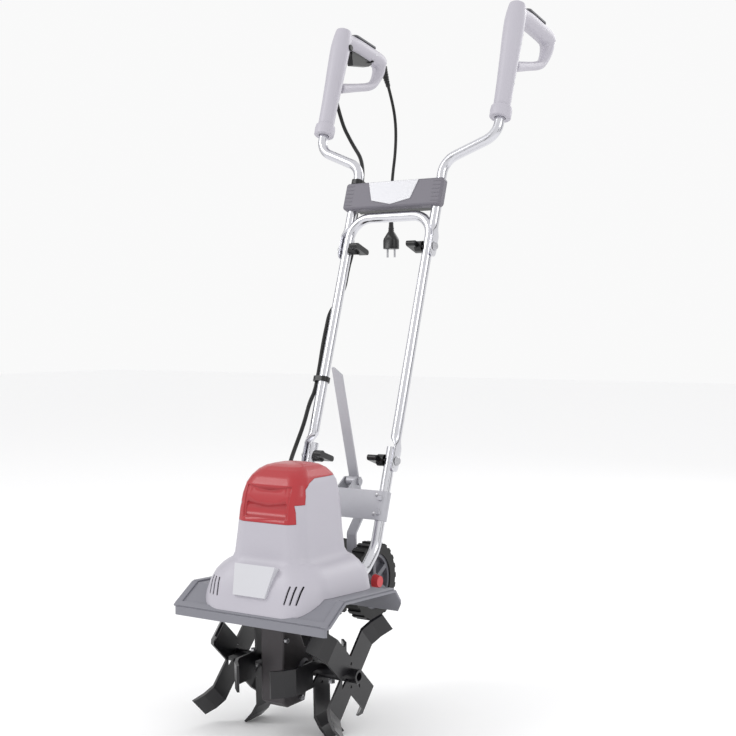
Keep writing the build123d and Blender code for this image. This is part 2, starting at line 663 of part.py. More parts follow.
LEVER_LINE = ((143, 631), (224, 350), (194, 318), (194, 232))
with BuildPart() as wheel_lever:
    with BuildSketch(side(-LEVER_HALF)):
        with BuildLine() as strap:
            FilletPolyline(*LEVER_LINE[:3], (AXLE_Y, AXLE_Z), radius=8)
            offset(amount=LEVER_THICK / 2, side=Side.BOTH)
        make_face()
    extrude(amount=2 * LEVER_HALF)
    with BuildSketch(side(-LEVER_HALF)):
        with Locations((LEVER_PIN_Y, LEVER_PIN_Z), (AXLE_Y, AXLE_Z)):
            Circle(9.5)
    extrude(amount=2 * LEVER_HALF)
    with BuildSketch(side(-LEVER_HALF - 1)):
        with Locations((LEVER_PIN_Y, LEVER_PIN_Z)):
            Circle(LEVER_PIN_R + FIT)
        with Locations((AXLE_Y, AXLE_Z)):
            Circle(AXLE_R)
    extrude(amount=2 * LEVER_HALF + 2, mode=Mode.SUBTRACT)
    with BuildSketch(Plane(origin=(0, 143, 631), x_dir=(1, 0, 0), z_dir=(0, 1, 0.28))):
        with BuildLine():
            Polyline((-LEVER_HALF - 1, -6), (LEVER_HALF + 1, -6), (LEVER_HALF + 1, 14), close=True)
        make_face()
    extrude(amount=20, both=True, mode=Mode.SUBTRACT)
keep("wheel_lever", wheel_lever)

with BuildPart() as wheel_axle:
    bar(side(-WHEEL_OUT - 4).shift_origin((-WHEEL_OUT - 4, AXLE_Y, AXLE_Z)), AXLE_R, 2 * WHEEL_OUT + 8)
    # a spacer either side of the lever
    for sign in (-1, 1):
        with BuildSketch(Plane(origin=(sign * LEVER_HALF, AXLE_Y, AXLE_Z), z_dir=(sign, 0, 0))):
            Circle(9)
            Circle(AXLE_R, mode=Mode.SUBTRACT)
        extrude(amount=WHEEL_OUT - TYRE_WIDTH - LEVER_HALF - 1)
keep("wheel_axle", wheel_axle)

for sign, which in ((-1, "left"), (1, "right")):
    inner = Plane(origin=(sign * (WHEEL_OUT - TYRE_WIDTH), AXLE_Y, AXLE_Z), z_dir=(sign, 0, 0))
    with BuildPart() as tyre:
        with BuildSketch(inner):
            Circle(TYRE_R - 3)
            with PolarLocations(TYRE_R - 4, 24):
                Rectangle(8, 9)
            Circle(RIM_R, mode=Mode.SUBTRACT)
        extrude(amount=TYRE_WIDTH)
        with BuildSketch(inner):
            Circle(TYRE_R + 5)
            Circle(TYRE_R, mode=Mode.SUBTRACT)
        extrude(amount=TYRE_WIDTH, mode=Mode.SUBTRACT)
    keep(f"{which}_tyre", tyre)
    with BuildPart() as rim:
        with BuildSketch(inner.offset(3)):
            Circle(RIM_R)
            Circle(RIM_R - 6, mode=Mode.SUBTRACT)
            with PolarLocations(RIM_R / 2 + 4, 6):
                Rectangle(RIM_R - 10, 9)
            Circle(15)
            Circle(AXLE_R + FIT, mode=Mode.SUBTRACT)
        extrude(amount=TYRE_WIDTH - 6)
        with BuildSketch(inner.offset(TYRE_WIDTH / 2 - 1.5)):
            Circle(RIM_R - 1)
            Circle(AXLE_R + FIT, mode=Mode.SUBTRACT)
        extrude(amount=3)
    keep(f"{which}_rim", rim)
    with BuildPart() as hub_cap:
        with BuildSketch(inner.offset(TYRE_WIDTH - 3)):
            Circle(13)
        extrude(amount=12, taper=12)
        bar(inner.offset(TYRE_WIDTH - 4), AXLE_R + FIT, 9, Mode.SUBTRACT)
    keep(f"{which}_hub_cap", hub_cap)

# ---------------------------------------------------------------- middle frame
MIDDLE_FLARE_TOP = TONGUE_LONG + FLARE
with BuildPart() as middle_frame:
    tube_along([along_handle(-MIDDLE_X, MIDDLE_FLARE_TOP), along_handle(-MIDDLE_X, ARCH_TOP),
                along_handle(MIDDLE_X, ARCH_TOP), along_handle(MIDDLE_X, MIDDLE_FLARE_TOP)], TUBE_R, ARCH_R)
    for sign in (-1, 1):
        tongue_end(sign, MIDDLE_X, MIDDLE_X + TUBE_R, 0)
        bar(Plane(origin=along_handle(sign * (MIDDLE_X - 20), UPPER_FOLD), z_dir=(sign, 0, 0)), BOLT_R, 40,
            Mode.SUBTRACT)
keep("middle_frame", middle_frame)


def bolts(name, s, inner_x, outer_x):
    """Two fold bolts: dome heads outside, threads ending in the knobs."""
    with BuildPart() as pair:
        for sign in (-1, 1):
            start = Plane(origin=along_handle(sign * (inner_x - 18), s), z_dir=(sign, 0, 0))
            bar(start, BOLT_R, outer_x - inner_x + 18 + 1)
            with BuildSketch(start.offset(outer_x - inner_x + 18 + 0.4)):
                Circle(HEAD_R)
            extrude(amount=4.5, taper=35)
    keep(name, pair)


def knob(name, sign, s, inner_x):
    """A wing knob that screws onto the bolt from inside the frame."""
    with BuildPart() as wing:
        start = Plane(origin=along_handle(sign * (inner_x - 0.4), s), x_dir=handle.y_dir, z_dir=(-sign, 0, 0))
        with BuildSketch(start):
            Circle(KNOB_R)
        extrude(amount=KNOB_LONG * 0.55)
        with BuildSketch(start.offset(KNOB_LONG * 0.3)):
            SlotOverall(2 * WING_HALF, 11, rotation=90)
        extrude(amount=KNOB_LONG * 0.7)
        bar(start, BOLT_R + FIT, 19, Mode.SUBTRACT)
    keep(name, wing)


bolts("lower_fold_bolts", 0, LOWER_X - TUBE_R, MIDDLE_X + TUBE_R)
bolts("upper_fold_bolts", UPPER_FOLD, MIDDLE_X - TUBE_R, UPPER_X + TUBE_R)
for sign, which in ((-1, "left"), (1, "right")):
    knob(f"lower_{which}_knob", sign, 0, LOWER_X - TUBE_R)
    knob(f"upper_{which}_knob", sign, UPPER_FOLD, MIDDLE_X - TUBE_R)

# ---------------------------------------------------------------- upper tubes
for sign, which in ((-1, "left"), (1, "right")):
    with BuildPart() as tube:
        tube_along([along_handle(sign * UPPER_X, UPPER_FOLD + TONGUE_LONG + FLARE), along_handle(sign * UPPER_X, SPREAD_LOW),
                    along_handle(sign * HANDLE_X, SPREAD_HIGH), along_handle(sign * HANDLE_X, GRIP_TUBE_END)],
                   TUBE_R, SPREAD_R)
        tongue_end(sign, UPPER_X, UPPER_X + TUBE_R, UPPER_FOLD)
    keep(f"upper_{which}_tube", tube)

# ---------------------------------------------------------------- console
with BuildPart() as console:
    with BuildSketch(handle.offset(-CONSOLE_BACK)):
        with Locations((0, (CONSOLE_LOW + CONSOLE_HIGH) / 2)):
            RectangleRounded(2 * CONSOLE_HALF, CONSOLE_HIGH - CONSOLE_LOW, 6)
    extrude(amount=CONSOLE_FRONT + CONSOLE_BACK)
    fillet(console.faces().sort_by(Axis(origin=(0, 0, 0), direction=handle.z_dir))[-1].edges(), 5)
    with BuildSketch(handle.offset(-CONSOLE_BACK + CONSOLE_WALL)):
        with Locations((0, (CONSOLE_LOW + CONSOLE_HIGH) / 2)):
            Rectangle(2 * (UPPER_X - TUBE_R - 5), CONSOLE_HIGH - CONSOLE_LOW - 2 * CONSOLE_WALL)
    extrude(amount=CONSOLE_FRONT + CONSOLE_BACK - 2 * CONSOLE_WALL, mode=Mode.SUBTRACT)
    for sign in (-1, 1):
        bar(Plane(origin=along_handle(sign * UPPER_X, CONSOLE_LOW - 1), z_dir=handle.y_dir), TUBE_R + 0.1,
            CONSOLE_HIGH - CONSOLE_LOW + 2, Mode.SUBTRACT)
with BuildPart() as console_front:
    add(console.part)
    split(bisect_by=handle, keep=Keep.TOP)
keep("console_front", console_front)
with BuildPart() as console_back:
    add(console.part)
    split(bisect_by=handle.offset(-0.2), keep=Keep.BOTTOM)
    for sign in (-1, 1):
        with BuildSketch(handle.offset(-CONSOLE_BACK - 1)):
            with Locations((sign * CONSOLE_HALF, (CONSOLE_LOW + CONSOLE_HIGH) / 2)):
                Rectangle(2 * (CONSOLE_HALF - UPPER_X + TUBE_R + 3), 200)
        extrude(amount=CONSOLE_BACK + 1, mode=Mode.SUBTRACT)
keep("console_back", console_back)

with BuildPart() as console_badge:
    with BuildSketch(handle.offset(CONSOLE_FRONT)):
        with BuildLine():
            Polyline((-57, CONSOLE_HIGH - 3), (57, CONSOLE_HIGH - 3), (44, CONSOLE_LOW + 15), (0, CONSOLE_LOW + 5),
                     (-44, CONSOLE_LOW + 15), close=True)
        make_face()
    extrude(amount=1.6)
keep("console_badge", console_badge)


# ---------------------------------------------------------------- grips
def grip_point(s, rearward):
    """(Y, Z) of a point beside the grip's column axis."""
    point = along_handle(0, s, -rearward)
    return (point.Y, point.Z)


GRIP_REAR = (652, 1316)
GRIP_OUTLINE = (
    grip_point(GRIP_START, -20), grip_point(820, -24), grip_point(916, -25), grip_point(944, -4),
    (512, 1344), (612, 1328), GRIP_REAR, (644, 1298), (600, 1252), (530, 1224),
    grip_point(800, 24), grip_point(GRIP_START, 20),
)
WINDOW = ((494, 1289), (588, 1284), (586, 1254), (526, 1238), (480, 1238))
WINDOW_ROUND = 9
for sign, which in ((-1, "left"), (1, "right")):
    with BuildPart() as grip:
        with BuildSketch(side(sign * HANDLE_X)) as outline:
            with BuildLine():
                Polyline(*GRIP_OUTLINE, close=True)
            make_face()
            fillet(outline.vertices(), 8)
            with BuildSketch(side(sign * HANDLE_X), mode=Mode.SUBTRACT) as window:
                with BuildLine():
                    Polyline(*WINDOW, close=True)
                make_face()
                fillet(window.vertices(), WINDOW_ROUND)
        extrude(amount=GRIP_HALF, both=True)
        fillet(grip.faces().filter_by(Axis.X).edges(), GRIP_EDGE)
        with BuildSketch(side(sign * HANDLE_X)) as hollow:
            with BuildLine():
                Polyline(*GRIP_OUTLINE, close=True)
            make_face()
            offset(amount=-GRIP_WALL - 1)
            with BuildSketch(side(sign * HANDLE_X), mode=Mode.SUBTRACT) as rib:
                with BuildLine():
                    Polyline(*WINDOW, close=True)
                make_face()
                offset(amount=GRIP_WALL + 1)
        extrude(amount=GRIP_HALF - GRIP_WALL, both=True, mode=Mode.SUBTRACT)
        collar = Plane(origin=along_handle(sign * HANDLE_X, GRIP_START - COLLAR_LONG), z_dir=handle.y_dir)
        bar(collar, COLLAR_R, COLLAR_LONG + 1)
        bar(collar, TUBE_R + 0.1, GRIP_TUBE_END - GRIP_START + COLLAR_LONG, Mode.SUBTRACT)
    for face, keep_side in (("outer", sign > 0), ("inner", sign < 0)):
        with BuildPart() as shell:
            add(grip.part)
            split(bisect_by=Plane(origin=(sign * HANDLE_X, 0, 0), z_dir=(1, 0, 0)),
                  keep=Keep.TOP if keep_side else Keep.BOTTOM)
        keep(f"{which}_grip_{face}_shell", shell)

# dark inserts let into the top bars
INSERT = ((514, 1338), (600, 1325.5))
with BuildPart() as grip_inserts:
    for sign in (-1, 1):
        (y0, z0), (y1, z1) = INSERT
        rise = (z1 - z0) / (y1 - y0)
        with BuildSketch(Plane(origin=(sign * HANDLE_X, (y0 + y1) / 2, (z0 + z1) / 2 + 2.5), x_dir=(0, 1, rise),
                               z_dir=(0, -rise, 1))):
            RectangleRounded(y1 - y0, 2 * GRIP_HALF - 12, 8)
        extrude(amount=3.5)
keep("grip_inserts", grip_inserts)

# ---------------------------------------------------------------- switch in the left grip
TRIGGER_PIN_Y, TRIGGER_PIN_Z = 580.0, 1297.0
with BuildPart() as trigger:
    with BuildSketch(side(-HANDLE_X)) as shape:
        with BuildLine():
            Polyline((TRIGGER_PIN_Y + 5, TRIGGER_PIN_Z + 5), (506, 1308), (504, 1296), (508, 1276), (530, 1279),
                     (TRIGGER_PIN_Y - 8, 1285), (TRIGGER_PIN_Y + 5, TRIGGER_PIN_Z - 5), close=True)
        make_face()
        fillet(shape.vertices(), 2.5)
        with Locations((TRIGGER_PIN_Y, TRIGGER_PIN_Z)):
            Circle(2 + FIT, mode=Mode.SUBTRACT)
    extrude(amount=7, both=True)
keep("trigger", trigger)

with BuildPart() as switch_box:
    reach = GRIP_HALF - GRIP_WALL
    bar(Plane(origin=(-HANDLE_X - reach, TRIGGER_PIN_Y, TRIGGER_PIN_Z), z_dir=(1, 0, 0)), 2, 2 * reach)
    with BuildSketch(side(-HANDLE_X)):
        with Locations(Location((532, 1323), -7)):
            RectangleRounded(44, 12, 2)
    extrude(amount=8, both=True)
keep("switch_box", switch_box)

BUTTON_Y, BUTTON_Z = 476.0, 1306.0
BUTTON_R = 7.0
BUTTON_OUT = 6.0
with BuildPart() as lock_button:
    start = Plane(origin=(-HANDLE_X, BUTTON_Y, BUTTON_Z), z_dir=(1, 0, 0))
    bar(start, BUTTON_R, GRIP_HALF + BUTTON_OUT)
    fillet(lock_button.faces().sort_by(Axis.X)[-1].edges(), 2)
keep("lock_button", lock_button)
with BuildPart() as button_hole:
    bar(start, BUTTON_R + FIT * 2, GRIP_HALF + 2)
with BuildPart() as trigger_slot:
    with BuildSketch(side(-HANDLE_X)):
        with BuildLine():
            Polyline((TRIGGER_PIN_Y + 8, 1300), (500, 1312), (500, 1270), (TRIGGER_PIN_Y + 8, 1270), close=True)
        make_face()
    extrude(amount=8, both=True)

# ---------------------------------------------------------------- mains lead and plug
LEAD = (
    (-205, 668, 1258), (-205, 691, 1218), (-205, 703, 1168), (-205, 700, 1112), (-205, 687, 1058),
    (-205, 681, 1004), (-205, 681, 950),
)
PLUG_TOP = LEAD[-1]
with BuildPart() as bend_relief:
    way = Vector(*LEAD[1]) - Vector(*LEAD[0])
    start = Plane(origin=Vector(*LEAD[0]), z_dir=-way)
    with BuildSketch(start):
        Circle(LEAD_R + 1.5)
    extrude(amount=46, taper=-5)
    for number in range(5):
        with BuildSketch(start.offset(6 + 6 * number)):
            Circle(10)
            Circle(LEAD_R + 1.2 + 0.4 * number, mode=Mode.SUBTRACT)
        extrude(amount=2, mode=Mode.SUBTRACT)
    add(pieces["left_grip_outer_shell"], mode=Mode.SUBTRACT)
    add(pieces["left_grip_inner_shell"], mode=Mode.SUBTRACT)
keep("bend_relief", bend_relief)
lead("mains_lead", LEAD, LEAD_R)

x, y, z = PLUG_TOP
with BuildPart() as plug:
    with BuildSketch(Plane(origin=(x, y, z), z_dir=(0, 0, -1))):
        Circle(LEAD_R + 1.5)
    extrude(amount=26, taper=-5)
    with BuildSketch(Plane(origin=(x, y, z - 26), z_dir=(0, 0, -1))) as neck:
        Circle(11)
    with BuildSketch(Plane(origin=(x, y, z - 42), z_dir=(0, 0, -1))) as shoulder:
        Circle(18)
    loft([neck.sketch, shoulder.sketch])
    bar(Plane(origin=(x, y, z - 42), z_dir=(0, 0, -1)), 18.5, 20)
    for sign in (-1, 1):
        bar(Plane(origin=(x + sign * PIN_SPACING / 2, y, z - 55), z_dir=(0, 0, -1)), PIN_ROOT_R, 20, Mode.SUBTRACT)
keep("plug_body", plug)
with BuildPart() as plug_pins:
    for sign in (-1, 1):
        bar(Plane(origin=(x + sign * PIN_SPACING / 2, y, z - 55), z_dir=(0, 0, -1)), PIN_ROOT_R, 8)
        bar(Plane(origin=(x + sign * PIN_SPACING / 2, y, z - 62), z_dir=(0, 0, -1)), PIN_R, PIN_LONG)
keep("plug_pins", plug_pins)

# ---------------------------------------------------------------- motor cable, clipped to the left tube
CABLE_N = -(TUBE_R + CABLE_R + 0.8)      # the cable's distance behind the tube
CLIP_MIDDLE_S, CLIP_UPPER_S = 152.0, 569.0
CLIP_HALF = 5.0
CABLE_CUT = (374.0, 478.0)               # where the stretch across the upper fold starts and ends


def behind_tube(x, s, further=0.0):
    return tuple(along_handle(-x, s, CABLE_N - further))


def beside_tube(x, s, further=0.0):
    return tuple(along_handle(-x + CABLE_N - further, s))


lead("motor_cable_upper", [
    tuple(along_handle(-HANDLE_X, 782, -15)), (-205, 462, 1172), (-196, 468, 1136), (-164, 452, 1096),
    (-122, 422, 1058), behind_tube(UPPER_X, CLIP_UPPER_S + 22), behind_tube(UPPER_X, CABLE_CUT[1]),
], CABLE_R)
lead("motor_cable_fold", [
    behind_tube(UPPER_X, CABLE_CUT[1]), behind_tube(UPPER_X, CABLE_CUT[1] - 20), behind_tube(MIDDLE_X + 2, 426, 8),
    behind_tube(MIDDLE_X, CABLE_CUT[0] + 20), behind_tube(MIDDLE_X, CABLE_CUT[0]),
], CABLE_R)
lead("motor_cable_middle", [
    behind_tube(MIDDLE_X, CABLE_CUT[0]), behind_tube(MIDDLE_X, CABLE_CUT[0] - 24),
    tuple(along_handle(-MIDDLE_X - 13, 318, CABLE_N - 2)), beside_tube(MIDDLE_X, 290), beside_tube(MIDDLE_X, 230, 2),
    beside_tube(MIDDLE_X, CLIP_MIDDLE_S + 24), beside_tube(MIDDLE_X, CLIP_MIDDLE_S - 6),
], CABLE_R)
lead("motor_cable_lower", [
    beside_tube(MIDDLE_X, CLIP_MIDDLE_S - 6), beside_tube(MIDDLE_X, CLIP_MIDDLE_S - 24), (-110, 213, 560),
    (-107, 190, 520), (-103, 158, 482), (-88, 116, 452), (-68, 86, 432), CABLE_ENTRY,
], CABLE_R)


def clip(name, s, x, cable, outside):
    """A strap round the tube and its cable, which lies outside it or behind it."""
    with BuildPart() as strap:
        with BuildSketch(across(s - CLIP_HALF)):
            reach = CABLE_R + 0.4
            long, wide = 2 * TUBE_R + 2 * CABLE_R + 4.8, 2 * TUBE_R + 4
            with Locations((-x - reach, 0) if outside else (-x, reach)):
                RectangleRounded(long if outside else wide, wide if outside else long, TUBE_R)
            with Locations((-x, 0)):
                Circle(TUBE_R, mode=Mode.SUBTRACT)
        extrude(amount=2 * CLIP_HALF)
        add(pieces[cable], mode=Mode.SUBTRACT)
    keep(name, strap)


clip("middle_cable_clip", CLIP_MIDDLE_S, MIDDLE_X, "motor_cable_middle", True)
clip("upper_cable_clip", CLIP_UPPER_S, UPPER_X, "motor_cable_upper", False)

# openings in the left grip for the button, the trigger and the cables
for face in ("outer", "inner"):
    with BuildPart() as shell:
        add(pieces[f"left_grip_{face}_shell"])
        add(button_hole.part, mode=Mode.SUBTRACT)
        add(trigger_slot.part, mode=Mode.SUBTRACT)
        add(pieces["motor_cable_upper"], mode=Mode.SUBTRACT)
    keep(f"left_grip_{face}_shell", shell)
for which in ("left", "right"):
    for face in ("outer", "inner"):
        with BuildPart() as shell:
            add(pieces[f"{which}_grip_{face}_shell"])
            add(grip_inserts.part, mode=Mode.SUBTRACT)
        keep(f"{which}_grip_{face}_shell", shell)

# ---------------------------------------------------------------- onto the base centre
ON_LEAD = ("mains_lead", "plug_body", "plug_pins", "bend_relief")
boxes = [part.bounding_box() for name, part in pieces.items() if name not in ON_LEAD]
low_y, high_y = min(b.min.Y for b in boxes), max(b.max.Y for b in boxes)
low_z, high_z = min(b.min.Z for b in boxes), max(b.max.Z for b in boxes)
low_x, high_x = min(b.min.X for b in boxes), max(b.max.X for b in boxes)
print("x", low_x, high_x, "y", low_y, high_y, "z", low_z, high_z)
shift = Location((0, -(low_y + high_y) / 2, -low_z))
print("moved by", shift.position)
for name, part in pieces.items():
    placed = part.moved(shift)
    placed.label = name
    export_step(placed, f"parts/{name}.step")
print(len(pieces), "pieces")
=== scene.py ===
"""Electric garden tiller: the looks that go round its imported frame."""
import json
from math import atan, cos, pi, radians, sin

import bpy
import bmesh
from mathutils import Matrix, Vector


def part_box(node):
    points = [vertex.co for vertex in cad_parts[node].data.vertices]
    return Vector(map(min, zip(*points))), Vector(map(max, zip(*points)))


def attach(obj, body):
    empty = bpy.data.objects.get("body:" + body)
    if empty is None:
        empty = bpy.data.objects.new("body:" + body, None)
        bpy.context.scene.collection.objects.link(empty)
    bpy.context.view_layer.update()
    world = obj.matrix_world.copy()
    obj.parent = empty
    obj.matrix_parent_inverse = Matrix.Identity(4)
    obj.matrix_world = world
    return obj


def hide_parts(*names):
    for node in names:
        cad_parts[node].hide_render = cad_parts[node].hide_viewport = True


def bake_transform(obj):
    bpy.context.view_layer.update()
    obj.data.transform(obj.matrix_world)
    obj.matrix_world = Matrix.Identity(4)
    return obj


bl_info = {
    "name": "Garden Tiller Dressing",
    "version": (1, 0, 0),
    "blender": (4, 5, 0),
    "location": "View3D > Sidebar > Tiller",
    "description": "Shells, rubber, cables and finishes of an electric garden tiller",
    "category": "Object",
}

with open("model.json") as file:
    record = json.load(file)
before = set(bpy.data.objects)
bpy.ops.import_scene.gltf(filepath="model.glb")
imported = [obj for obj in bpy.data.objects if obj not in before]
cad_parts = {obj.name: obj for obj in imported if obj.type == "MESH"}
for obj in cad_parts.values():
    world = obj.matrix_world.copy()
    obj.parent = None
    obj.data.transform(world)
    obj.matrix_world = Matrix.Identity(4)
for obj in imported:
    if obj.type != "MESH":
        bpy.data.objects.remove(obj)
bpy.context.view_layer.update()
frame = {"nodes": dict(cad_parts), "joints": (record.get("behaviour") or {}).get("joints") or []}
MM = 0.001


def low(node):
    return Vector(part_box(node)[0])


def high(node):
    return Vector(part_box(node)[1])


def centre(node):
    return (low(node) + high(node)) / 2


TINE_AXIS = centre("hub_tubes")          # the tine shaft's axis, which the sizes below start from
JOINTS = {joint["name"]: joint for joint in frame["joints"]}
LEAN = atan(1 / 3)
UP_HANDLE = Vector((0, sin(LEAN), cos(LEAN)))
OUT_HANDLE = Vector((0, -cos(LEAN), sin(LEAN)))
FOLD = Vector(JOINTS["lower_fold"]["pos_m"])
AXIS_HEIGHT = 112 * MM


def spot(x, y, z):
    """A point given in millimetres from the tine shaft, with z from the ground."""
    return Vector((x * MM, y * MM + TINE_AXIS.y, z * MM + TINE_AXIS.z - AXIS_HEIGHT))


def on_handle(x, s, n=0.0):
    """A point in millimetres across, up along, and out of the front of the handle."""
    return Vector((x * MM, FOLD.y, FOLD.z)) + UP_HANDLE * (s * MM) + OUT_HANDLE * (n * MM)


HANDLE_TURN = Matrix((Vector((1, 0, 0)), UP_HANDLE, OUT_HANDLE)).transposed().to_4x4()


# ---------------------------------------------------------------- shader expressions
class Socket:
    """A shader socket that takes part in arithmetic."""

    def __init__(self, shader, link):
        self.shader = shader
        self.link = link

    def _maths(self, operation, *values):
        return self.shader.node("ShaderNodeMath", {"operation": operation}, dict(enumerate(values)))

    def __add__(self, other):
        return self._maths("ADD", self, other)

    __radd__ = __add__

    def __sub__(self, other):
        return self._maths("SUBTRACT", self, other)

    def __mul__(self, other):
        return self._maths("MULTIPLY", self, other)

    def clamp(self):
        return self._maths("MINIMUM", self._maths("MAXIMUM", self, 0.0), 1.0)


class Finish:
    """A material in the making."""

    def __init__(self, name, metal=0.0, coat=0.0, coat_roughness=0.1, specular=0.5):
        self.material = bpy.data.materials.new(name)
        self.material.use_nodes = True
        self.tree = self.material.node_tree
        self.surface = self.tree.nodes["Principled BSDF"]
        self.surface.inputs["Metallic"].default_value = metal
        self.surface.inputs["Coat Weight"].default_value = coat
        self.surface.inputs["Coat Roughness"].default_value = coat_roughness
        self.surface.inputs["Specular IOR Level"].default_value = specular
        self.place = self.node("ShaderNodeTexCoord", output="Object")

    def node(self, kind, settings=None, inputs=None, output=0):
        made = self.tree.nodes.new(kind)
        for name, value in (settings or {}).items():
            setattr(made, name, value)
        for name, value in (inputs or {}).items():
            if isinstance(value, Socket):
                self.tree.links.new(value.link, made.inputs[name])
            else:
                made.inputs[name].default_value = value
        return Socket(self, made.outputs[output])

    def noise(self, scale, detail=3.0):
        return self.node("ShaderNodeTexNoise", {},
                         {"Vector": self.place, "Scale": scale, "Detail": detail, "Roughness": 0.5})

    def mix(self, amount, first, second):
        made = self.tree.nodes.new("ShaderNodeMix")
        made.data_type = "RGBA"
        for name, value in (("Factor", amount), ("A", first), ("B", second)):
            kind = "VALUE" if name == "Factor" else "RGBA"
            socket = next(s for s in made.inputs if s.name == name and s.type == kind)
            if isinstance(value, Socket):
                self.tree.links.new(value.link, socket)
            else:
                socket.default_value = value if name == "Factor" else (*value, 1)
        return Socket(self, next(s for s in made.outputs if s.type == "RGBA"))

    def bump(self, height, strength, distance):
        return self.node("ShaderNodeBump", {}, {"Height": height, "Strength": strength, "Distance": distance})

    def edge_highlight_mask(self, spread=4.0):
        """Convex edges, from the surface's own curvature, as the mask for a painted edge highlight."""
        pointy = self.node("ShaderNodeNewGeometry", output="Pointiness")
        return ((pointy - 0.5) * spread).clamp()

    def set(self, **values):
        for name, value in values.items():
            socket = self.surface.inputs[name.replace("_", " ")]
            if isinstance(value, Socket):
                self.tree.links.new(value.link, socket)
            else:
                socket.default_value = value if not isinstance(value, tuple) else (*value, 1)
        return self.material


def tone(colour, factor):
    return tuple(min(1.0, c * factor) for c in colour)


def moulded(name, colour, roughness=0.42, grain=900.0, depth=0.00012, patch=6.0, coat=0.0):
    """Injection-moulded plastic: fine spark texture, faint flow tone and handling gloss."""
    made = Finish(name, coat=coat)
    cloud = made.noise(patch, 2.0)
    fine = made.noise(grain, 2.0)
    return made.set(
        Base_Color=made.mix((cloud * 0.8).clamp(), tone(colour, 0.95), tone(colour, 1.04)),
        Roughness=(roughness - 0.06 + cloud * 0.12).clamp(),
        Normal=made.bump(fine, 0.22, depth),
    )


def plated(name, colour, roughness=0.15):
    """Bright chrome on drawn tube, with a few smudges."""
    made = Finish(name, metal=1.0)
    smudge = made.noise(14.0, 4.0)
    return made.set(
        Base_Color=made.mix(smudge, tone(colour, 0.93), colour),
        Roughness=(roughness + smudge * 0.09).clamp(),
        Normal=made.bump(made.noise(160.0, 2.0), 0.03, 0.0002),
    )


def painted_steel(name, colour, roughness=0.38, metal=0.35):
    """Powder coat with orange peel, metal flake and a painted highlight: its convex edges are painted brighter."""
    made = Finish(name, metal=metal, coat=0.2, coat_roughness=0.25)
    peel = made.noise(420.0, 2.0)
    flakes = made.noise(2200.0, 1.0)
    # painted highlight: convex edges are painted brighter, standing in for light catching them
    painted_edge_highlight = made.edge_highlight_mask(3.0)
    base = made.mix((flakes * 0.6).clamp(), tone(colour, 0.9), tone(colour, 1.08))
    return made.set(
        Base_Color=made.mix(painted_edge_highlight * 0.35, base, tone(colour, 1.5)),
        Roughness=(roughness + made.noise(24.0) * 0.14).clamp(),
        Normal=made.bump(peel, 0.18, 0.0002),
    )


def cast_metal(name, colour):
    """Sand-textured alloy casting, with random blotches of darker and lighter tone and roughness."""
    made = Finish(name, metal=0.85)
    sand = made.noise(1100.0, 3.0)
    blotch = made.noise(38.0, 4.0)
    return made.set(
        Base_Color=made.mix(blotch, tone(colour, 0.75), tone(colour, 1.2)),
        Roughness=(0.42 + blotch * 0.22).clamp(),
        Normal=made.bump(sand, 0.35, 0.0003),
    )


def bare_steel(name, colour, roughness=0.3):
    """Zinc-plated fasteners and turned shafts."""
    made = Finish(name, metal=1.0)
    spangle = made.node("ShaderNodeTexVoronoi", {}, {"Vector": made.place, "Scale": 520.0}, "Distance")
    return made.set(
        Base_Color=made.mix(spangle, tone(colour, 0.82), colour),
        Roughness=(roughness + spangle * 0.15).clamp(),
        Normal=made.bump(made.noise(700.0), 0.08, 0.0001),
    )


def rubbery(name, colour, roughness=0.55, grain=600.0, dust=0.0):
    """Soft black rubber or cable sheath, with a little dust."""
    made = Finish(name, specular=0.4)
    cloud = made.noise(60.0, 5.0)
    return made.set(
        Base_Color=made.mix((cloud * dust).clamp(), colour, (0.12, 0.11, 0.10)),
        Roughness=(roughness + cloud * 0.15).clamp(),
        Normal=made.bump(made.noise(grain), 0.2, 0.0002),
    )


def linear(red, green, blue):
    """An sRGB colour given in 0-255 steps, as Blender's shader wants it."""
    return tuple((c / 255 / 12.92) if c < 10.3 else ((c / 255 + 0.055) / 1.055) ** 2.4 for c in (red, green, blue))


# ---------------------------------------------------------------- sizes and colours
class TillerColours(bpy.types.PropertyGroup):
    housing: bpy.props.FloatVectorProperty(name="Housing", description="Motor housing and grips", subtype="COLOR",
                                           default=linear(184, 181, 190))
    cap: bpy.props.FloatVectorProperty(name="Cap", description="Motor cap", subtype="COLOR",
                                       default=linear(172, 40, 47))
    fender: bpy.props.FloatVectorProperty(name="Fender", description="Fender", subtype="COLOR",
                                          default=linear(128, 128, 136))
    console: bpy.props.FloatVectorProperty(name="Console", description="Console front", subtype="COLOR",
                                           default=linear(112, 109, 118))
    tines: bpy.props.FloatVectorProperty(name="Tines", description="Tine paint", subtype="COLOR",
                                         default=linear(24, 22, 28))


class TillerSizes(bpy.types.PropertyGroup):
    rim_height: bpy.props.FloatProperty(name="Fender rim", description="Raised border of the fender",
                                        default=3.0 * MM, unit="LENGTH")
    lead_diameter: bpy.props.FloatProperty(name="Lead diameter", description="Mains lead", default=7 * MM,
                                           unit="LENGTH")


FINISHES = {}


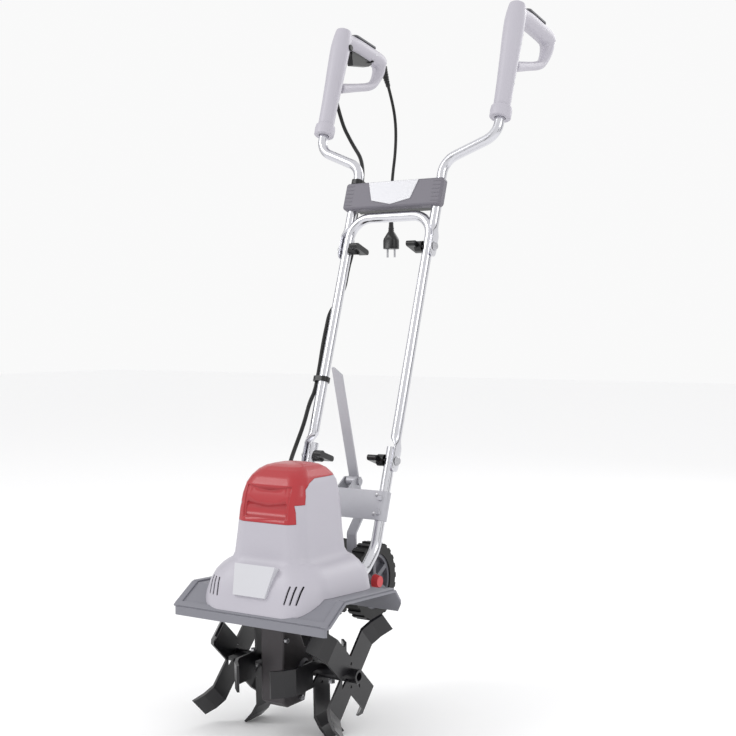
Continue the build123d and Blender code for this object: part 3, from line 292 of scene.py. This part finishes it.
def finish(name):
    """The material called name, made the first time that it is asked for."""
    if name not in FINISHES:
        colours = bpy.context.scene.tiller_colours
        makers = {
            "housing_shell": lambda: moulded(name, tuple(colours.housing), 0.40),
            "cap_shell": lambda: moulded(name, tuple(colours.cap), 0.38, coat=0.15),
            "fender_plastic": lambda: moulded(name, tuple(colours.fender), 0.5, grain=500.0, depth=0.0003),
            "console_plastic": lambda: moulded(name, tuple(colours.console), 0.48, grain=600.0),
            "black_plastic": lambda: moulded(name, linear(9, 9, 11), 0.34, grain=700.0),
            "dark_grip": lambda: moulded(name, linear(98, 98, 102), 0.5),
            "badge_face": lambda: moulded(name, linear(202, 202, 207), 0.3, coat=0.3),
            "chrome": lambda: plated(name, linear(214, 214, 219)),
            "silver_paint": lambda: painted_steel(name, linear(176, 176, 182)),
            "tine_paint": lambda: painted_steel(name, tone(tuple(colours.tines), 0.5), 0.3, 0.1),
            "casting": lambda: cast_metal(name, linear(82, 79, 81)),
            "zinc": lambda: bare_steel(name, linear(190, 190, 194)),
            "bronze": lambda: bare_steel(name, linear(190, 150, 90)),
            "winding": lambda: bare_steel(name, linear(90, 70, 60), 0.45),
            "tyre_rubber": lambda: rubbery(name, linear(12, 12, 14), 0.5, 500.0, 0.12),
            "rim_plastic": lambda: moulded(name, linear(96, 96, 103), 0.45),
            "hub_red": lambda: moulded(name, linear(196, 58, 62), 0.35),
            "cable_sheath": lambda: rubbery(name, linear(7, 7, 8), 0.36, 900.0, 0.02),
        }
        FINISHES[name] = makers[name]()
    return FINISHES[name]


# ---------------------------------------------------------------- making pieces
def piece(mesh, name, body, look, nodes=(), angle=35):
    """Turn a bmesh into a finished piece that rides on a body."""
    bmesh.ops.remove_doubles(mesh, verts=mesh.verts, dist=1e-6)
    data = bpy.data.meshes.new(name)
    mesh.to_mesh(data)
    mesh.free()
    made = bpy.data.objects.new(name, data)
    bpy.context.scene.collection.objects.link(made)
    data.materials.append(finish(look))
    data.shade_smooth()
    data.set_sharp_from_angle(angle=radians(angle))
    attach(made, body)
    if nodes:
        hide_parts(*nodes)
    return made


def soften(made, width):
    """Round a piece's edges."""
    bevel = made.modifiers.new("Edges", "BEVEL")
    bevel.width = width
    bevel.segments = 2
    bevel.limit_method = "ANGLE"
    bevel.angle_limit = radians(30)
    bevel.harden_normals = False


def cylinder(mesh, radius, length, place, top_radius=None, segments=40):
    """A closed round bar from its foot at the origin of place, up place's own Z."""
    return bmesh.ops.create_cone(
        mesh, cap_ends=True, segments=segments, radius1=radius, radius2=top_radius or radius, depth=length,
        matrix=place @ Matrix.Translation((0, 0, length / 2)))["verts"]


def facing(point, direction, spin=0.0):
    """A place at point whose Z runs along direction."""
    turn = Vector(direction).to_track_quat("Z", "Y").to_matrix().to_4x4()
    return Matrix.Translation(point) @ turn @ Matrix.Rotation(spin, 4, "Z")


def route(name, points, diameter):
    """A smooth cable through given points."""
    curve = bpy.data.curves.new(name, "CURVE")
    curve.dimensions = "3D"
    line = curve.splines.new("NURBS")
    line.points.add(len(points) - 1)
    for knot, point in zip(line.points, points):
        knot.co = (*point, 1)
    line.order_u = 3
    line.use_endpoint_u = True
    line.resolution_u = 10
    curve.bevel_depth = diameter / 2
    curve.bevel_resolution = 6
    curve.use_fill_caps = True
    made = bpy.data.objects.new(name, curve)
    bpy.context.scene.collection.objects.link(made)
    curve.materials.append(finish("cable_sheath"))
    return made


# ---------------------------------------------------------------- stage
class TILLER_OT_stage(bpy.types.Operator):
    """Pale floor, soft studio light and the camera"""
    bl_idname = "tiller.stage"
    bl_label = "Stage"

    def execute(self, context):
        mesh = bmesh.new()
        bmesh.ops.create_grid(mesh, x_segments=1, y_segments=1, size=14)
        data = bpy.data.meshes.new("floor")
        mesh.to_mesh(data)
        mesh.free()
        floor = bpy.data.objects.new("floor", data)
        context.scene.collection.objects.link(floor)
        pale = Finish("floor_pale", specular=0.1)
        data.materials.append(pale.set(Base_Color=(0.97, 0.97, 0.975), Roughness=0.95))
        world = bpy.data.worlds.new("studio")
        context.scene.world = world
        world.use_nodes = True
        world.node_tree.nodes["Background"].inputs["Color"].default_value = (1, 1, 1, 1)
        world.node_tree.nodes["Background"].inputs["Strength"].default_value = 0.95
        for name, place, size, power in (
            ("key", (-2.2, -2.4, 2.8), 1.4, 34), ("side", (2.8, -0.6, 1.9), 1.0, 10), ("back", (0.6, 2.8, 2.2), 1.4, 14),
        ):
            lamp = bpy.data.lights.new(name, "AREA")
            lamp.size = size
            lamp.energy = power
            made = bpy.data.objects.new(name, lamp)
            made.location = place
            made.rotation_euler = (Vector((0, 0, 0.6)) - Vector(place)).to_track_quat("-Z", "Y").to_euler()
            context.scene.collection.objects.link(made)
        # dark cards at the sides, which draw the dark lines along the bright tubes
        for number, (x, y, turn) in enumerate(((-3.4, 0.6, 80), (3.2, 1.6, -62), (0.2, -5.4, 2), (4.4, -1.2, 74))):
            card = bmesh.new()
            bmesh.ops.create_grid(card, x_segments=1, y_segments=1, size=0.5,
                                  matrix=Matrix.Translation((x, y, 1.5)) @ Matrix.Rotation(radians(turn), 4, "Z")
                                  @ Matrix.Rotation(radians(90), 4, "X") @ Matrix.Diagonal((0.7, 4.0, 1, 1)))
            sheet = bpy.data.meshes.new(f"card_{number}")
            card.to_mesh(sheet)
            card.free()
            made = bpy.data.objects.new(f"card_{number}", sheet)
            context.scene.collection.objects.link(made)
            sheet.materials.append(finish("black_plastic"))
            made.visible_camera = False
            made.visible_diffuse = False
            made.visible_shadow = False
        camera = bpy.data.cameras.new("camera")
        camera.lens = 59.43
        camera.sensor_width = 36
        view = bpy.data.objects.new("camera", camera)
        view.location = spot(1238.45, -1729.75, 701.067)
        view.rotation_euler = (radians(90 - 1.78), 0, radians(32))
        context.scene.collection.objects.link(view)
        context.scene.camera = view
        context.scene.view_settings.view_transform = "Standard"
        return {"FINISHED"}


# ---------------------------------------------------------------- leads
class TILLER_OT_leads(bpy.types.Operator):
    """Mains lead with its bend relief and plug, and the motor cable down the left tube"""
    bl_idname = "tiller.leads"
    bl_label = "Leads"

    def execute(self, context):
        lead_points = (
            (-205, 668, 1258), (-205, 691, 1218), (-205, 703, 1168), (-205, 700, 1112), (-205, 687, 1058),
            (-205, 681, 1004), (-205, 681, 950),
        )
        points = [spot(*p) for p in lead_points]
        lead = route("mains_flex", points, context.scene.tiller_sizes.lead_diameter)
        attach(lead, "upper")
        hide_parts("mains_lead")
        relief = self.relief(points)
        plug = self.plug(points[-1])
        self.motor_cable()
        return {"FINISHED"}

    def relief(self, points):
        """Tapered, slotted bend relief at the grip's rear corner."""
        mesh = bmesh.new()
        way = (points[1] - points[0]).normalized()
        long, grooves, first_groove, groove_pitch, groove_wide = 46 * MM, 6, 9 * MM, 5.6 * MM, 2.4 * MM
        start = facing(points[0] - way * long, way)
        cylinder(mesh, 9.2 * MM, long, start, 4.9 * MM, 32)
        for number in range(grooves):
            cut = start @ Matrix.Translation((0, 0, first_groove + number * groove_pitch))
            for depth in (0, groove_wide):
                plane = cut @ Matrix.Translation((0, 0, depth))
                bmesh.ops.bisect_plane(mesh, geom=mesh.verts[:] + mesh.edges[:] + mesh.faces[:],
                                       plane_co=plane.translation, plane_no=way)
        for number in range(grooves):
            middle = start @ Vector((0, 0, first_groove + number * groove_pitch + groove_wide / 2))
            band = [f for f in mesh.faces if abs((f.calc_center_median() - middle).dot(way)) < 0.6 * MM
                    and abs(f.normal.dot(way)) < 0.5]
            bmesh.ops.inset_region(mesh, faces=band, thickness=0, depth=-1.5 * MM)
        return piece(mesh, "lead_bend_relief", "upper", "black_plastic", ["bend_relief"])

    def plug(self, top):
        """Moulded two-pin plug: ribbed neck, waist and broad face."""
        mesh = bmesh.new()
        profile = ((0, 0), (5.2, 0), (5.6, 6), (6.4, 14), (7.2, 22), (10.5, 27), (13, 31), (17.2, 38), (18.4, 43),
                   (18.4, 60.5), (17.4, 61.8), (0, 61.8))
        verts = [mesh.verts.new((radius * MM, 0, -depth * MM)) for radius, depth in profile]
        edges = [mesh.edges.new(pair) for pair in zip(verts, verts[1:])]
        bmesh.ops.spin(mesh, geom=verts + edges, cent=(0, 0, 0), axis=(0, 0, 1), angle=2 * pi, steps=48, use_merge=True)
        bmesh.ops.remove_doubles(mesh, verts=mesh.verts, dist=1e-6)
        grooves = [f for f in mesh.faces if -21 * MM < f.calc_center_median().z < -3 * MM]
        rings = bmesh.ops.subdivide_edges(mesh, edges=list({e for f in grooves for e in f.edges
                                          if abs(e.verts[0].co.z - e.verts[1].co.z) > 1 * MM}), cuts=4)
        for vert in {v for v in rings["geom"] if isinstance(v, bmesh.types.BMVert)}:
            if round(-vert.co.z / (1.6 * MM)) % 2:
                vert.co.x *= 0.88
                vert.co.y *= 0.88
        # flats for the fingers on two sides
        for vert in mesh.verts:
            if -58 * MM < vert.co.z < -36 * MM and abs(vert.co.y) > 13.5 * MM:
                vert.co.y *= 13.5 * MM / abs(vert.co.y)
        bmesh.ops.recalc_face_normals(mesh, faces=mesh.faces)
        bmesh.ops.translate(mesh, verts=mesh.verts, vec=top)
        return piece(mesh, "mains_plug", "upper", "black_plastic", ["plug_body"])

    def motor_cable(self):
        """The crossings over the folds are smooth cables, each riding on one body; the clipped stretches keep their CAD
        shape.
        """
        behind = -14.8
        tube_upper, tube_middle = 97.0, 92.5
        fold = [on_handle(-tube_upper, 478, behind), on_handle(-tube_upper, 458, behind),
                on_handle(-tube_middle - 2, 426, behind - 8), on_handle(-tube_middle, 394, behind),
                on_handle(-tube_middle, 374, behind)]
        lower = [on_handle(-tube_middle + behind, 146), on_handle(-tube_middle + behind, 128),
                 spot(-110, 213, 560), spot(-107, 190, 520), spot(-103, 158, 482), spot(-88, 116, 452),
                 spot(-68, 86, 432), spot(-46, 62, 417)]
        for name, points, bodies, node in (
            ("cable_over_upper_fold", fold, ("upper", "middle"), "motor_cable_fold"),
            ("cable_over_lower_fold", lower, ("middle", "chassis"), "motor_cable_lower"),
        ):
            line = route(name + "_line", points, 8 * MM)
            data = evaluated(line)
            made = bpy.data.objects.new(name, data)
            data.materials.clear()
            data.materials.append(finish("cable_sheath"))
            bpy.context.scene.collection.objects.link(made)
            data.shade_smooth()
            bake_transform(made)
            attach(made, bodies[1])
            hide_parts(node)


# ---------------------------------------------------------------- round tube
class Bender:
    """Draws a round tube forward and round its bends, in the handle's own frame or the machine's."""

    def __init__(self, start, way, radius, segments=28):
        self.mesh = bmesh.new()
        self.way = Vector(way).normalized()
        self.point = Vector(start)
        made = bmesh.ops.create_circle(self.mesh, cap_ends=False, segments=segments, radius=radius,
                                       matrix=facing(self.point, self.way))
        self.ring = list({edge for vert in made["verts"] for edge in vert.link_edges})

    def straight(self, length, steps=1):
        for _ in range(steps):
            moved = bmesh.ops.extrude_edge_only(self.mesh, edges=self.ring)["geom"]
            bmesh.ops.translate(self.mesh, verts=[g for g in moved if isinstance(g, bmesh.types.BMVert)],
                                vec=self.way * (length / steps))
            self.ring = [g for g in moved if isinstance(g, bmesh.types.BMEdge)]
        self.point = self.point + self.way * length
        return self

    def bend(self, way, radius):
        way = Vector(way).normalized()
        axis = self.way.cross(way).normalized()
        angle = self.way.angle(way)
        middle = self.point + axis.cross(self.way) * radius
        ends = bmesh.ops.spin(self.mesh, geom=self.ring, cent=middle, axis=axis, angle=angle,
                              steps=max(3, round(angle / radians(7))), use_merge=False)["geom_last"]
        self.ring = [g for g in ends if isinstance(g, bmesh.types.BMEdge)]
        self.point = middle + Matrix.Rotation(angle, 3, axis) @ (self.point - middle)
        self.way = way
        return self

    def along(self, points, *radii):
        """Through corners given as points, each rounded to its radius, to the last point."""
        for corner, after, radius in zip(points, points[1:], radii):
            way = (after - corner).normalized()
            turn = self.way.angle(way)
            self.straight((corner - self.point).length - radius * abs(sin(turn / 2) / cos(turn / 2)))
            self.bend(way, radius)
        return self.straight((points[-1] - self.point).length)


class TILLER_OT_tubes(bpy.types.Operator):
    """Plated handle tubes with their pressed fold ends"""
    bl_idname = "tiller.tubes"
    bl_label = "Handle tubes"

    def execute(self, context):
        tube, lower_x, middle_x, upper_x, grip_x = 10 * MM, 88, 92.5, 97, 205
        for sign, which in ((-1, "left"), (1, "right")):
            lower = Bender(spot(sign * lower_x, 20, 270), (0, 1, 0), tube)
            lower.along([spot(sign * lower_x, 97, 270), spot(sign * lower_x, 135.8, 304),
                         on_handle(sign * lower_x, 25)], 30 * MM, 60 * MM)
            self.finish(lower, f"lower_{which}_tube_plated", "chassis", f"lower_{which}_tube")
            upper = Bender(on_handle(sign * upper_x, 404), UP_HANDLE, tube)
            upper.straight(80 * MM, 30)
            upper.along([on_handle(sign * upper_x, 603), on_handle(sign * grip_x, 650),
                         on_handle(sign * grip_x, 800)], 40 * MM, 40 * MM)
            self.press(upper, on_handle(sign * upper_x, 404), sign)
            self.finish(upper, f"upper_{which}_tube_plated", "upper", f"upper_{which}_tube")
        middle = Bender(on_handle(-middle_x, -20), UP_HANDLE, tube)
        middle.straight(80 * MM, 30)
        middle.along([on_handle(-middle_x, 490), on_handle(middle_x, 490), on_handle(middle_x, 60)], 44 * MM, 44 * MM)
        middle.straight(80 * MM, 30)
        for sign in (-1, 1):
            self.press(middle, on_handle(sign * middle_x, -20), sign)
        self.finish(middle, "middle_frame_plated", "middle", "middle_frame")
        return {"FINISHED"}

    def press(self, bender, foot, sign):
        """Flatten a fold end to a tongue lying along the tube's outer side, and round off its tip."""
        tongue, flare, radius, half_thick, half_wide = 42 * MM, 24 * MM, 10 * MM, 2 * MM, 13 * MM
        outward = Vector((sign, 0, 0))
        for vert in bender.mesh.verts:
            away = vert.co - foot
            along = away.dot(UP_HANDLE)
            if abs(away.x) > 2 * radius or along > tongue + flare:
                continue
            amount = 1.0 if along < tongue else 0.5 + 0.5 * cos(pi * (along - tongue) / flare)
            outside, front = away.dot(outward), away.dot(OUT_HANDLE)
            tip = min(1.0, max(0.0, 1 - (half_wide - along) / half_wide))
            width = half_wide / radius * (0.35 + 0.65 * (1 - (1 - tip) ** 2) ** 0.5)
            pressed = outside * half_thick / radius + radius - half_thick
            vert.co = foot + UP_HANDLE * along + outward * (outside + (pressed - outside) * amount) \
                + OUT_HANDLE * front * (1 + (width - 1) * amount)

    def finish(self, bender, name, body, node):
        mesh = bender.mesh
        bmesh.ops.remove_doubles(mesh, verts=mesh.verts, dist=1e-6)
        bmesh.ops.holes_fill(mesh, edges=[edge for edge in mesh.edges if edge.is_boundary])
        bmesh.ops.recalc_face_normals(mesh, faces=mesh.faces)
        piece(mesh, name, body, "chrome", [node], angle=40)


# ---------------------------------------------------------------- moulded shells
def moulding(name, node, look):
    """A shell made from its CAD solid, welded so that it shades as one skin."""
    mesh = bmesh.new()
    mesh.from_mesh(frame["nodes"][node].data)
    bmesh.ops.remove_doubles(mesh, verts=mesh.verts, dist=2e-5)
    for face in mesh.faces:
        face.material_index = 0
    piece(mesh, name, "chassis", look, [node], angle=24)


class TILLER_OT_housing(bpy.types.Operator):
    """Motor housing and its cap"""
    bl_idname = "tiller.housing"
    bl_label = "Housing"

    def execute(self, context):
        moulding("housing_moulding", "motor_housing", "housing_shell")
        moulding("cap_moulding", "motor_cap", "cap_shell")
        return {"FINISHED"}


def evaluated(made):
    """The mesh that an object ends up as, and the object gone."""
    bpy.context.view_layer.update()
    data = bpy.data.meshes.new_from_object(made.evaluated_get(bpy.context.evaluated_depsgraph_get()))
    bpy.data.objects.remove(made)
    return data


def limb(mesh, stations):
    """Add a round bar whose radius changes along its stations."""
    curve = bpy.data.curves.new("limb", "CURVE")
    curve.dimensions = "3D"
    line = curve.splines.new("NURBS")
    line.points.add(len(stations) - 1)
    for knot, (point, radius) in zip(line.points, stations):
        knot.co = (*point, 1)
        knot.radius = radius
    line.order_u = 3
    line.use_endpoint_u = True
    line.resolution_u = 8
    curve.bevel_depth = MM
    curve.bevel_resolution = 6
    curve.use_fill_caps = True
    holder = bpy.data.objects.new("limb", curve)
    bpy.context.scene.collection.objects.link(holder)
    mesh.from_mesh(evaluated(holder))


def fused(mesh, voxel, passes):
    """One skin over everything in the mesh, relaxed like a moulding."""
    rough = bpy.data.meshes.new("fused")
    bmesh.ops.recalc_face_normals(mesh, faces=mesh.faces)
    mesh.to_mesh(rough)
    mesh.free()
    holder = bpy.data.objects.new("fused", rough)
    bpy.context.scene.collection.objects.link(holder)
    skin = holder.modifiers.new("Skin", "REMESH")
    skin.mode = "VOXEL"
    skin.voxel_size = voxel
    relax = holder.modifiers.new("Relax", "SMOOTH")
    relax.factor = 0.5
    relax.iterations = passes
    result = bmesh.new()
    result.from_mesh(evaluated(holder))
    return result


class TILLER_OT_grips(bpy.types.Operator):
    """Loop grips, their collars and screws"""
    bl_idname = "tiller.grips"
    bl_label = "Grips"

    def execute(self, context):
        for sign, which in ((-1, "left"), (1, "right")):
            x = sign * 205
            mesh = bmesh.new()
            limb(mesh, [(on_handle(x, s, n), r) for s, n, r in (
                (700, 0, 17), (740, 0, 17.2), (800, 0, 19), (860, 1, 21), (905, 1, 21.5), (932, 0, 17))])
            limb(mesh, [(spot(x, y, z), r) for y, z, r in (
                (478, 1325, 17.5), (520, 1323, 18.5), (560, 1317, 18.5), (600, 1311, 18.5), (626, 1306, 19),
                (635, 1302, 17))])
            limb(mesh, [(spot(x, y, z), r) for y, z, r in (
                (624, 1306, 17.5), (630, 1290, 15.5), (610, 1259, 11), (590, 1244, 9.5), (530, 1232, 9),
                (468, 1220, 11))])
            piece(fused(mesh, 1.9 * MM, 7), f"{which}_grip_moulding", "upper", "housing_shell",
                  [f"{which}_grip_outer_shell", f"{which}_grip_inner_shell"], angle=60)
            self.collar(x, which)
            self.screws(x, sign, which)
        return {"FINISHED"}

    def collar(self, x, which):
        mesh = bmesh.new()
        profile = ((11, 684.5), (19.5, 684.5), (21, 686), (21.4, 700), (20.4, 707), (18, 709.5), (11, 709.5))
        verts = [mesh.verts.new((radius * MM, 0, (height - 684) * MM)) for radius, height in profile]
        edges = [mesh.edges.new(pair) for pair in zip(verts, verts[1:] + verts[:1])]
        bmesh.ops.spin(mesh, geom=verts + edges, cent=(0, 0, 0), axis=(0, 0, 1), angle=2 * pi, steps=48,
                       use_merge=True)
        bmesh.ops.recalc_face_normals(mesh, faces=mesh.faces)
        bmesh.ops.transform(mesh, matrix=facing(on_handle(x, 684), UP_HANDLE), verts=mesh.verts)
        piece(mesh, f"{which}_grip_collar", "upper", "housing_shell")

    def screws(self, x, sign, which):
        """Countersunk screws on the face that the camera's side shows."""
        mesh = bmesh.new()
        wells = [(on_handle(x, s, n), r) for s, n, r in ((760, -2, 17.4), (845, -2, 19.9))]
        wells += [(spot(x, 588, 1313), 18.2), (spot(x, 606, 1258), 9.9), (spot(x, 548, 1236), 8.1)]
        for point, out in wells:
            head = facing(point + Vector(((out - 1.2) * MM, 0, 0)), (1, 0, 0))
            cylinder(mesh, 3.2 * MM, 1.6 * MM, head, 2.6 * MM, 16)
        piece(mesh, f"{which}_grip_screws", "upper", "zinc")


class TILLER_OT_fender(bpy.types.Operator):
    """Raised border round the fender's top"""
    bl_idname = "tiller.fender"
    bl_label = "Fender border"

    def execute(self, context):
        wide, lift = 163, context.scene.tiller_sizes.rim_height / MM
        mesh = bmesh.new()
        for start, end, long in (
            ((-wide + 9, -129, 222.6), (-wide + 9, -77, 256), 12), ((wide - 9, -129, 222.6), (wide - 9, -77, 256), 12),
            ((-wide + 9, -77, 256), (-wide + 9, 83, 248), 12), ((wide - 9, -77, 256), (wide - 9, 83, 248), 12),
        ):
            self.strip(mesh, spot(*start), spot(*end), long * MM, lift * MM)
        self.strip(mesh, spot(-wide + 4, -123.5, 226.1), spot(wide - 4, -123.5, 226.1), 11 * MM, lift * MM,
                   Vector((0, -34, 53)).normalized())
        made = piece(mesh, "fender_border", "chassis", "fender_plastic")
        soften(made, 1.2 * MM)
        return {"FINISHED"}

    def strip(self, mesh, start, end, wide, tall, up=None):
        """A flat bead between two points, standing on the fender."""
        way = (end - start).normalized()
        up = up or Vector((1, 0, 0)).cross(way).normalized()
        across = way.cross(up)
        turn = Matrix((across, way, up)).transposed().to_4x4()
        bmesh.ops.create_cube(mesh, size=1, matrix=Matrix.Translation((start + end) / 2 + up * (tall / 2 - 0.5 * MM))
                              @ turn @ Matrix.Diagonal((wide, (end - start).length, tall + 1 * MM, 1)))


class TILLER_OT_console(bpy.types.Operator):
    """Grip ribs across both ends of the console"""
    bl_idname = "tiller.console"
    bl_label = "Console ribs"

    def execute(self, context):
        mesh = bmesh.new()
        for sign in (-1, 1):
            for number in range(6):
                place = Matrix.Translation(on_handle(sign * 99, 513 + number * 8.2, 16.8)) @ HANDLE_TURN
                bmesh.ops.create_cube(mesh, size=1, matrix=place @ Matrix.Diagonal((17 * MM, 2 * MM, 1.8 * MM, 1)))
        made = piece(mesh, "console_ribs", "upper", "console_plastic")
        soften(made, 0.6 * MM)
        return {"FINISHED"}


class TILLER_OT_rivets(bpy.types.Operator):
    """Domed rivets on the crossmember"""
    bl_idname = "tiller.rivets"
    bl_label = "Rivets"

    def execute(self, context):
        mesh = bmesh.new()
        top, bottom = high("crossmember"), low("crossmember")
        for sign in (-1, 1):
            for rise in (0.2, 0.8):
                z = bottom.z + (top.z - bottom.z) * rise
                along = (z - FOLD.z) / UP_HANDLE.z
                point = Vector((sign * 80 * MM, FOLD.y, FOLD.z)) + UP_HANDLE * along + OUT_HANDLE * 9.5 * MM
                self.dome(mesh, point, OUT_HANDLE, 6.5 * MM)
        piece(mesh, "crossmember_rivets", "chassis", "zinc")
        return {"FINISHED"}

    def dome(self, mesh, point, way, radius):
        made = bmesh.ops.create_uvsphere(mesh, u_segments=24, v_segments=12, radius=radius)["verts"]
        under = [v for v in made if v.co.z < -1e-5]
        bmesh.ops.delete(mesh, geom=under, context="VERTS")
        dome = [v for v in made if v.is_valid]
        bmesh.ops.scale(mesh, vec=(1, 1, 0.65), verts=dome)
        bmesh.ops.transform(mesh, matrix=facing(point, way), verts=dome)
        rim = [e for e in mesh.edges if e.is_boundary]
        bmesh.ops.holes_fill(mesh, edges=rim)


# ---------------------------------------------------------------- CAD nodes that keep their shape
CARRIED = {
    "casting": ("gearbox_left_case", "gearbox_right_case"),
    "zinc": ("case_bolts", "hitch_bolts", "lower_fold_bolts", "upper_fold_bolts", "bearings_and_seals", "tine_shaft",
             "wheel_axle", "armature", "base_plate", "plug_pins"),
    "winding": ("motor_stator",),
    "bronze": ("worm_wheel",),
    "black_plastic": ("cooling_fan", "console_back", "lower_left_knob", "lower_right_knob", "upper_left_knob",
                      "upper_right_knob", "trigger", "lock_button", "middle_cable_clip", "upper_cable_clip",
                      "switch_box", "plug_body", "bend_relief"),
    "housing_shell": ("motor_housing", "left_grip_outer_shell", "left_grip_inner_shell", "right_grip_outer_shell",
                      "right_grip_inner_shell"),
    "cap_shell": ("motor_cap",),
    "badge_face": ("front_badge", "console_badge"),
    "fender_plastic": ("fender",),
    "console_plastic": ("console_front",),
    "dark_grip": ("grip_inserts",),
    "chrome": ("lower_left_tube", "lower_right_tube", "middle_frame", "upper_left_tube", "upper_right_tube"),
    "silver_paint": ("crossmember", "lever_bracket", "wheel_lever"),
    "tine_paint": ("inner_stars", "outer_stars", "hub_tubes"),
    "tyre_rubber": ("left_tyre", "right_tyre"),
    "rim_plastic": ("left_rim", "right_rim"),
    "hub_red": ("left_hub_cap", "right_hub_cap"),
    "cable_sheath": ("mains_lead", "motor_cable_upper", "motor_cable_fold", "motor_cable_middle",
                     "motor_cable_lower"),
}


class TILLER_OT_carried(bpy.types.Operator):
    """Finishes for the CAD nodes"""
    bl_idname = "tiller.carried"
    bl_label = "CAD finishes"

    def execute(self, context):
        for look, nodes in CARRIED.items():
            for node in nodes:
                made = frame["nodes"][node]
                if not made.material_slots:
                    made.data.materials.append(None)
                for holder in made.material_slots:
                    holder.link = "OBJECT"
                    holder.material = finish(look)
        return {"FINISHED"}


class TILLER_PT_panel(bpy.types.Panel):
    """Lists the tiller's makers"""
    bl_label = "Tiller"
    bl_idname = "TILLER_PT_panel"
    bl_space_type = "VIEW_3D"
    bl_region_type = "UI"
    bl_category = "Tiller"

    def draw(self, context):
        for maker in OPERATORS:
            self.layout.operator(maker.bl_idname)


OPERATORS = (TILLER_OT_stage, TILLER_OT_leads, TILLER_OT_tubes, TILLER_OT_housing, TILLER_OT_grips,
             TILLER_OT_fender, TILLER_OT_console, TILLER_OT_rivets, TILLER_OT_carried)
CLASSES = (TillerColours, TillerSizes, *OPERATORS, TILLER_PT_panel)


def register():
    for kind in CLASSES:
        bpy.utils.register_class(kind)
    bpy.types.Scene.tiller_colours = bpy.props.PointerProperty(type=TillerColours)
    bpy.types.Scene.tiller_sizes = bpy.props.PointerProperty(type=TillerSizes)


def unregister():
    del bpy.types.Scene.tiller_colours
    del bpy.types.Scene.tiller_sizes
    for kind in reversed(CLASSES):
        bpy.utils.unregister_class(kind)


def main():
    register()
    for maker in OPERATORS:
        group, call = maker.bl_idname.split(".")
        getattr(getattr(bpy.ops, group), call)()


if __name__ == "__main__":
    main()
